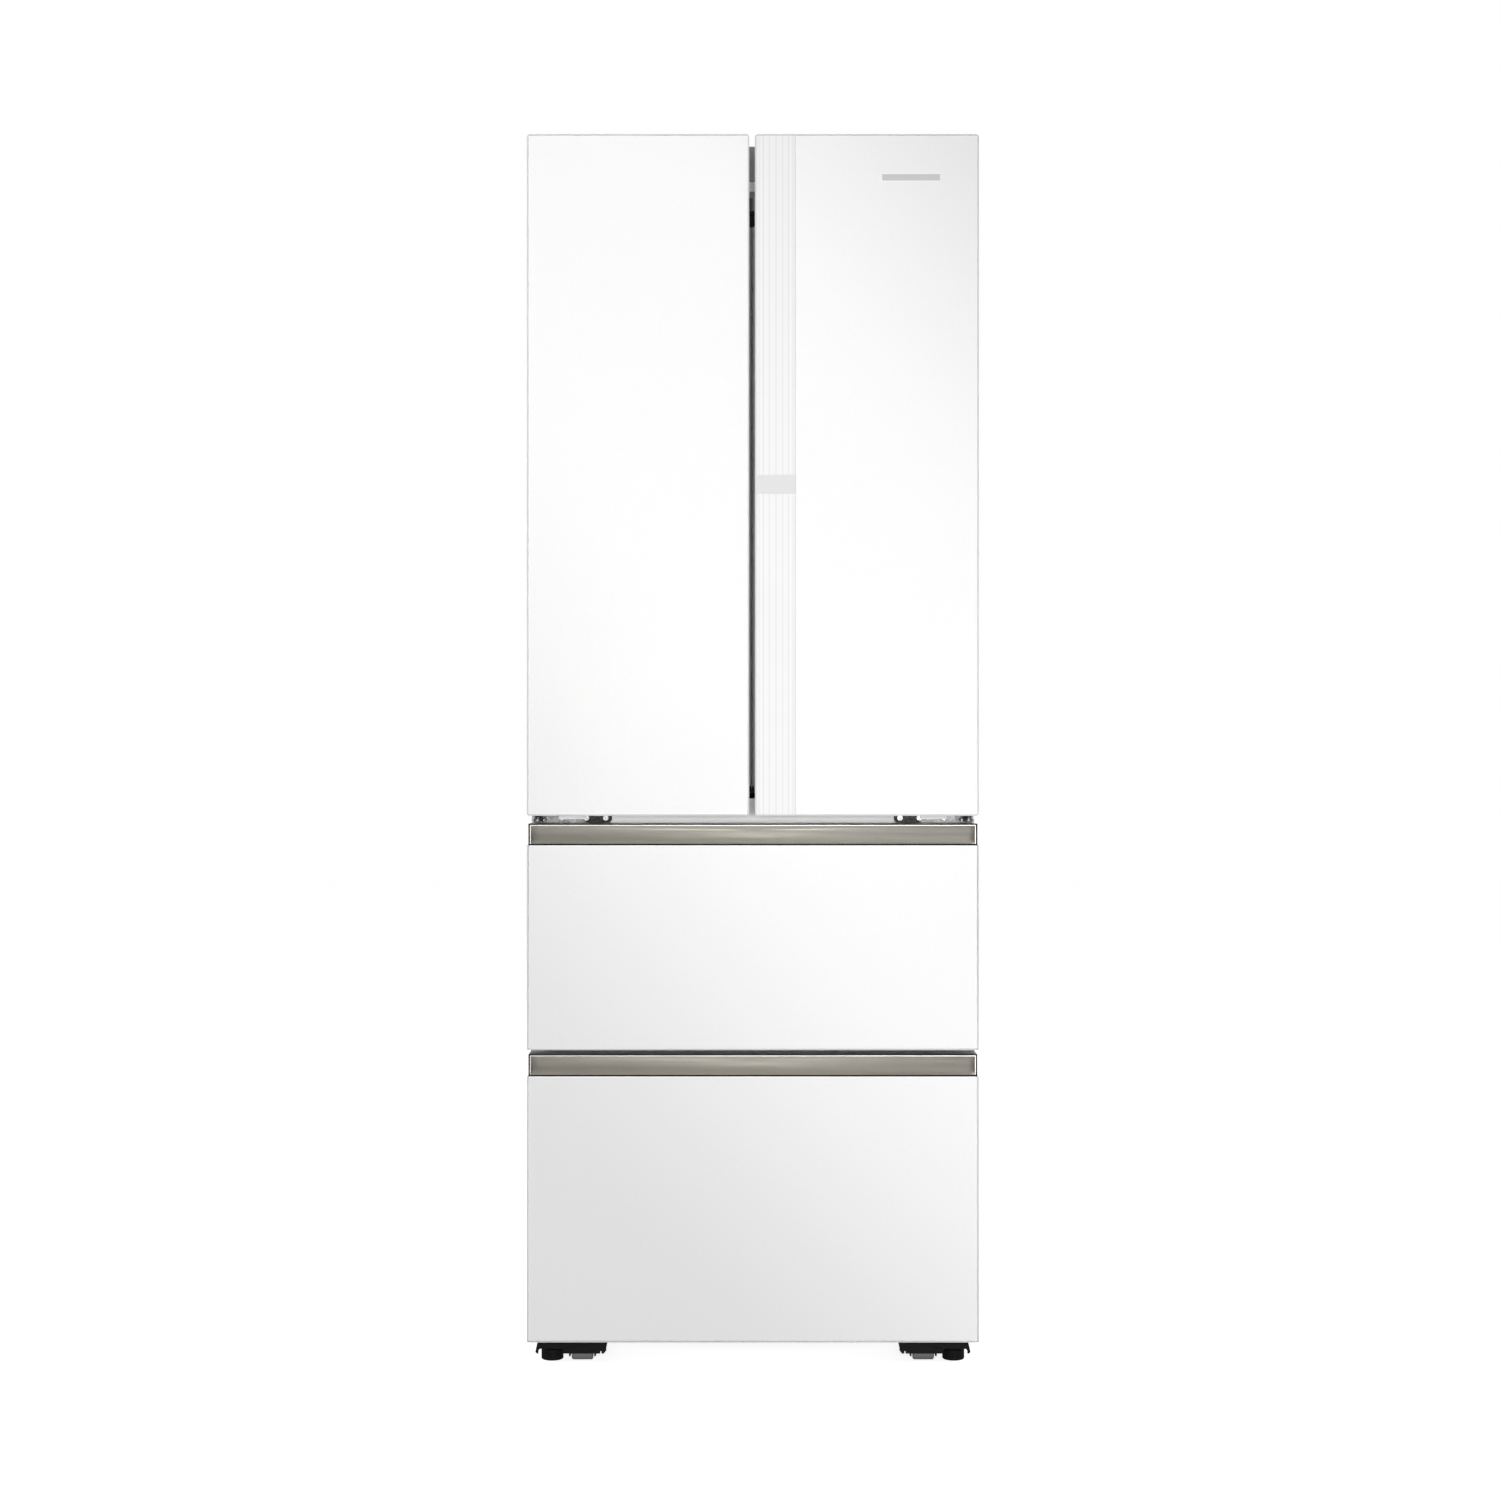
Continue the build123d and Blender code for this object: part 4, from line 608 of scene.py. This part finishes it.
def make_grip_trim(level):
    """Black strips round a drawer's grip that stand in for its shadow gaps (painted shadow), and inside
    them a lighter strip that stands in for the highlight on its cut edge (painted highlight).
    """
    low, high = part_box(level + "_drawer_handle")
    glass_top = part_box(level + "_drawer_glass")[1].z
    face = (low.y - PROUD, low.y + TRIM_DEPTH)
    foot, crown, top = glass_top + LIP_HEIGHT, high.z - SHADOW_SEAL_TOP, high.z - TOUCH
    left, right = low.x + SHADOW_SEAL_END, high.x - SHADOW_SEAL_END
    # painted shadow: black strips on the grip's top, at its ends and along the glass below it
    shadow_seal = Shape()
    shadow_seal.block((low.x, high.x), face, (crown, top))
    shadow_seal.block((low.x, high.x), LIP_Y, (glass_top + TOUCH, foot))
    for ends in ((low.x, left), (right, high.x)):
        shadow_seal.block(ends, (low.y - PROUD, high.y - END_GAP), (foot, crown))
    shadow_seal.piece(level + "_grip_shadow_seal", level + "_drawer", "foot_plastic", 0.0)
    # painted highlight: a lighter strip along the grip's top and ends
    highlight_edge = Shape()
    inner = (left + HIGHLIGHT_EDGE, right - HIGHLIGHT_EDGE, crown - HIGHLIGHT_EDGE)
    arch = [
        (left, foot), (inner[0], foot), (inner[0], inner[2]), (inner[1], inner[2]),
        (inner[1], foot), (right, foot), (right, crown), (left, crown),
    ]
    highlight_edge.prism(arch, face, "y")
    highlight_edge.piece(level + "_grip_highlight_edge", level + "_drawer", "handle_metal", 0.0, finish=POLISHED_HIGHLIGHT_EDGE)


def make_hinge_shims():
    """White plastic spacers in front of the middle hinges' plates, inwards of the arms."""
    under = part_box("hinge_brackets")[0].z + SHIM_RISE
    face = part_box("crossrails")[0].y - PLATE
    for name, side in (("left", -1), ("right", 1)):
        shim = Shape()
        x = sorted(side * end for end in SHIM_X)
        shim.block(x, (face - SHIM_DEPTH, face + SINK), (under, under + SHIM_HEIGHT))
        shim.piece("hinge_shim_" + name, "cabinet", "liner_plastic", 0.0006, finish=SHIM_WHITE)


def make_shelf_rims():
    """White plastic rims along the shelves' front and rear edges."""
    low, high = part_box("glass_shelves")
    for index, top in enumerate(SHELF_TOPS):
        rim = Shape()
        for y, turn in ((low.y, 1), (high.y, -1)):
            outer, under, over = y - turn * RIM_OUT, y + turn * RIM_UNDER, y + turn * RIM_OVER
            seat = y - turn * SINK
            outline = [
                (outer, top - SHELF_GLASS - RIM_SHEET), (under, top - SHELF_GLASS - RIM_SHEET),
                (under, top - SHELF_GLASS - SINK), (seat, top - SHELF_GLASS - SINK),
                (seat, top + SINK), (over, top + SINK),
                (over, top + RIM_CROWN), (outer, top + RIM_CROWN),
            ]
            rim.prism(outline, (low.x + RIM_END, high.x - RIM_END))
        rim.piece(f"shelf_rim_{index + 1}", "cabinet", "liner_plastic", 0.0007)


def make_bin_rails():
    """Satin rails along the inner edge of every door bin."""
    for name in ("left", "right"):
        low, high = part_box(name + "_door_bins")
        rails = Shape()
        for top in BIN_TOPS:
            x = (low.x + RAIL_INSET, high.x - RAIL_INSET)
            y = (high.y - RAIL_BED, high.y + RAIL_PROUD)
            rails.block(x, y, (top + RAIL_Z[0], top + RAIL_Z[1]))
        rails.piece(name + "_bin_rails", name + "_door", "plate_metal", 0.0006)


def make_panel_screws():
    """Pan-head screws in the beads of the rear panel."""
    low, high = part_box("rear_panel")
    screws = Shape()
    profile = [
        (0.0052, 0.0), (0.005, 0.0006), (0.0038, 0.001),
        (0.0016, 0.001), (0.0014, 0.0004), (0.0002, 0.0004),
    ]
    for x in SCREW_X:
        for z in (low.z + SCREW_MARGIN, (low.z + high.z) / 2, high.z - SCREW_MARGIN):
            screws.turned((x, high.y - BEAD_DEPTH, z), profile)
    screws.piece("rear_panel_screws", "cabinet", "hinge_chrome", 0.0, smooth=True)


def make_pieces():
    for level in ("middle", "lower"):
        make_grip_trim(level)
    make_hinge_shims()
    make_shelf_rims()
    make_bin_rails()
    make_panel_screws()


def round_cad_edges():
    for node, width in ROUNDED_NODES.items():
        round_edges(frame["nodes"][node], width)


# ---- Stage: floor, light and camera -----------------------------------------------


def plane(name, size, location, rotation=(0, 0, 0)):
    """A flat rectangle, facing its own +Z."""
    mesh = bpy.data.meshes.new(name)
    x, y = size[0] / 2, size[1] / 2
    mesh.from_pydata([(-x, -y, 0), (x, -y, 0), (x, y, 0), (-x, y, 0)], [], [(0, 1, 2, 3)])
    made = bpy.data.objects.new(name, mesh)
    made.location = location
    made.rotation_euler = rotation
    bpy.context.collection.objects.link(made)
    return made


def make_floor():
    """A white floor that ends a little in front of the refrigerator."""
    place = (0, FLOOR_SIZE[1] / 2 - FLOOR_REACH, cad_low.z - FLOOR_GAP)
    floor = plane("floor", FLOOR_SIZE, place)
    finish = Finish("floor_white", (0.9, 0.9, 0.9), 0.9)
    finish.vary_colour(finish.noise(2, 2), 0.005)
    finish.set("Emission Color", (1, 1, 1, 1))
    finish.set("Emission Strength", 0.75)
    finish.set("Specular IOR Level", 0.0)
    floor.data.materials.append(finish.material)
    floor.visible_diffuse = False
    floor.visible_glossy = False


def make_reflection_card():
    """A softbox behind the camera: a slanted bright band that the glass fronts pick up."""
    place = (0, FRONT - CARD_DISTANCE, CARD_HEIGHT)
    card = plane("reflection_card", CARD_SIZE, place, (math.radians(90), 0, 0))
    finish = Finish("card_light", (0, 0, 0), 1.0)
    coordinates = finish.node("ShaderNodeTexCoord")
    split = finish.node("ShaderNodeSeparateXYZ")
    finish.link(coordinates.outputs["Object"], split.inputs["Vector"])
    along = finish.math("MULTIPLY", split.outputs["X"], BAND_SLOPE)
    offset = finish.math("SUBTRACT", finish.math("ADD", split.outputs["Y"], along), BAND_LEVEL)
    above = finish.math("DIVIDE", offset, BAND_ABOVE)
    below = finish.math("DIVIDE", offset, -BAND_BELOW)
    near = finish.math("MAXIMUM", above, below)
    fall = finish.node("ShaderNodeMapRange", clamp=True, interpolation_type="SMOOTHSTEP")
    fall.inputs["From Min"].default_value = 1.0
    fall.inputs["From Max"].default_value = 0.2
    fall.inputs["To Min"].default_value = CARD_DIM
    fall.inputs["To Max"].default_value = CARD_BRIGHT
    finish.link(near, fall.inputs["Value"])
    glow = finish.node("ShaderNodeEmission")
    finish.link(fall.outputs["Result"], glow.inputs["Strength"])
    output = finish.tree.nodes["Material Output"]
    finish.link(glow.outputs["Emission"], output.inputs["Surface"])
    card.data.materials.append(finish.material)
    card.visible_camera = False
    card.visible_diffuse = False
    card.visible_shadow = False


def area_light(name, location, target, size, power):
    """A soft rectangular light that points at a target."""
    data = bpy.data.lights.new(name, "AREA")
    data.shape = "RECTANGLE"
    data.size, data.size_y = size
    data.energy = power
    light = bpy.data.objects.new(name, data)
    light.location = location
    light.rotation_euler = (Vector(target) - Vector(location)).to_track_quat("-Z", "Y").to_euler()
    light.visible_camera = False
    bpy.context.collection.objects.link(light)
    return light


def make_world():
    """An even white dome; seen directly it is pure white."""
    world = bpy.data.worlds.new("studio")
    world.use_nodes = True
    tree = world.node_tree
    background = tree.nodes["Background"]
    background.inputs["Color"].default_value = (1, 1, 1, 1)
    background.inputs["Strength"].default_value = DOME
    direct = tree.nodes.new("ShaderNodeBackground")
    direct.inputs["Color"].default_value = (1, 1, 1, 1)
    direct.inputs["Strength"].default_value = 1.0
    ray = tree.nodes.new("ShaderNodeLightPath")
    mix = tree.nodes.new("ShaderNodeMixShader")
    tree.links.new(ray.outputs["Is Camera Ray"], mix.inputs[0])
    tree.links.new(background.outputs[0], mix.inputs[1])
    tree.links.new(direct.outputs[0], mix.inputs[2])
    tree.links.new(mix.outputs[0], tree.nodes["World Output"].inputs["Surface"])
    bpy.context.scene.world = world


def make_camera():
    data = bpy.data.cameras.new("camera")
    data.sensor_width = 36.0
    data.lens = data.sensor_width * CAMERA_DISTANCE / FRAME_WIDTH
    data.clip_end = 100
    camera = bpy.data.objects.new("camera", data)
    camera.location = (CAMERA_X, FRONT - CAMERA_DISTANCE, CAMERA_HEIGHT)
    camera.rotation_euler = (math.radians(90), 0, 0)
    bpy.context.collection.objects.link(camera)
    bpy.context.scene.camera = camera


def light_grip(level):
    """Two low lamps that light one drawer's grip and nothing else."""
    low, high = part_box(level + "_drawer_handle")
    lamp_at = (-0.07, FRONT - 0.5, low.z - 0.3)
    target = (0, high.y, high.z)
    lamp = area_light(level + "_grip_light", lamp_at, target, (0.12, 0.3), GRIP_LIGHT)
    glint_at = (0, FRONT - 0.25, low.z - 0.14)
    glint = area_light(level + "_grip_glint", glint_at, target, (0.06, 0.08), GLINT_LIGHT)
    only = bpy.data.collections.new(level + "_grip")
    only.objects.link(frame["nodes"][level + "_drawer_handle"])
    lamp.light_linking.receiver_collection = only
    glint.light_linking.receiver_collection = only


def make_stage():
    make_camera()
    make_floor()
    make_world()
    make_reflection_card()
    area_light("key", (-1.6, -3.4, 3.8), (0, 0, 1.0), (2.4, 2.4), KEY_LIGHT)
    front = area_light("front", (0, -4.2, 0.92), (0, 0, 0.92), (1.5, 0.7), FRONT_LIGHT)
    front.visible_glossy = False
    for name, (location, power) in FILLS.items():
        area_light(name, location, (0, 0.1, 0.95), (3, 3), power)
    area_light("fill_top", (0, 0.8, 4.0), (0, 0.1, 1.9), (2.4, 1.6), TOP_LIGHT)
    for level in ("middle", "lower"):
        light_grip(level)
    bpy.context.scene.view_settings.view_transform = "Standard"
    bpy.context.scene.view_settings.look = "None"


make_stage()
dress_cad_nodes()
round_cad_edges()
make_pieces()
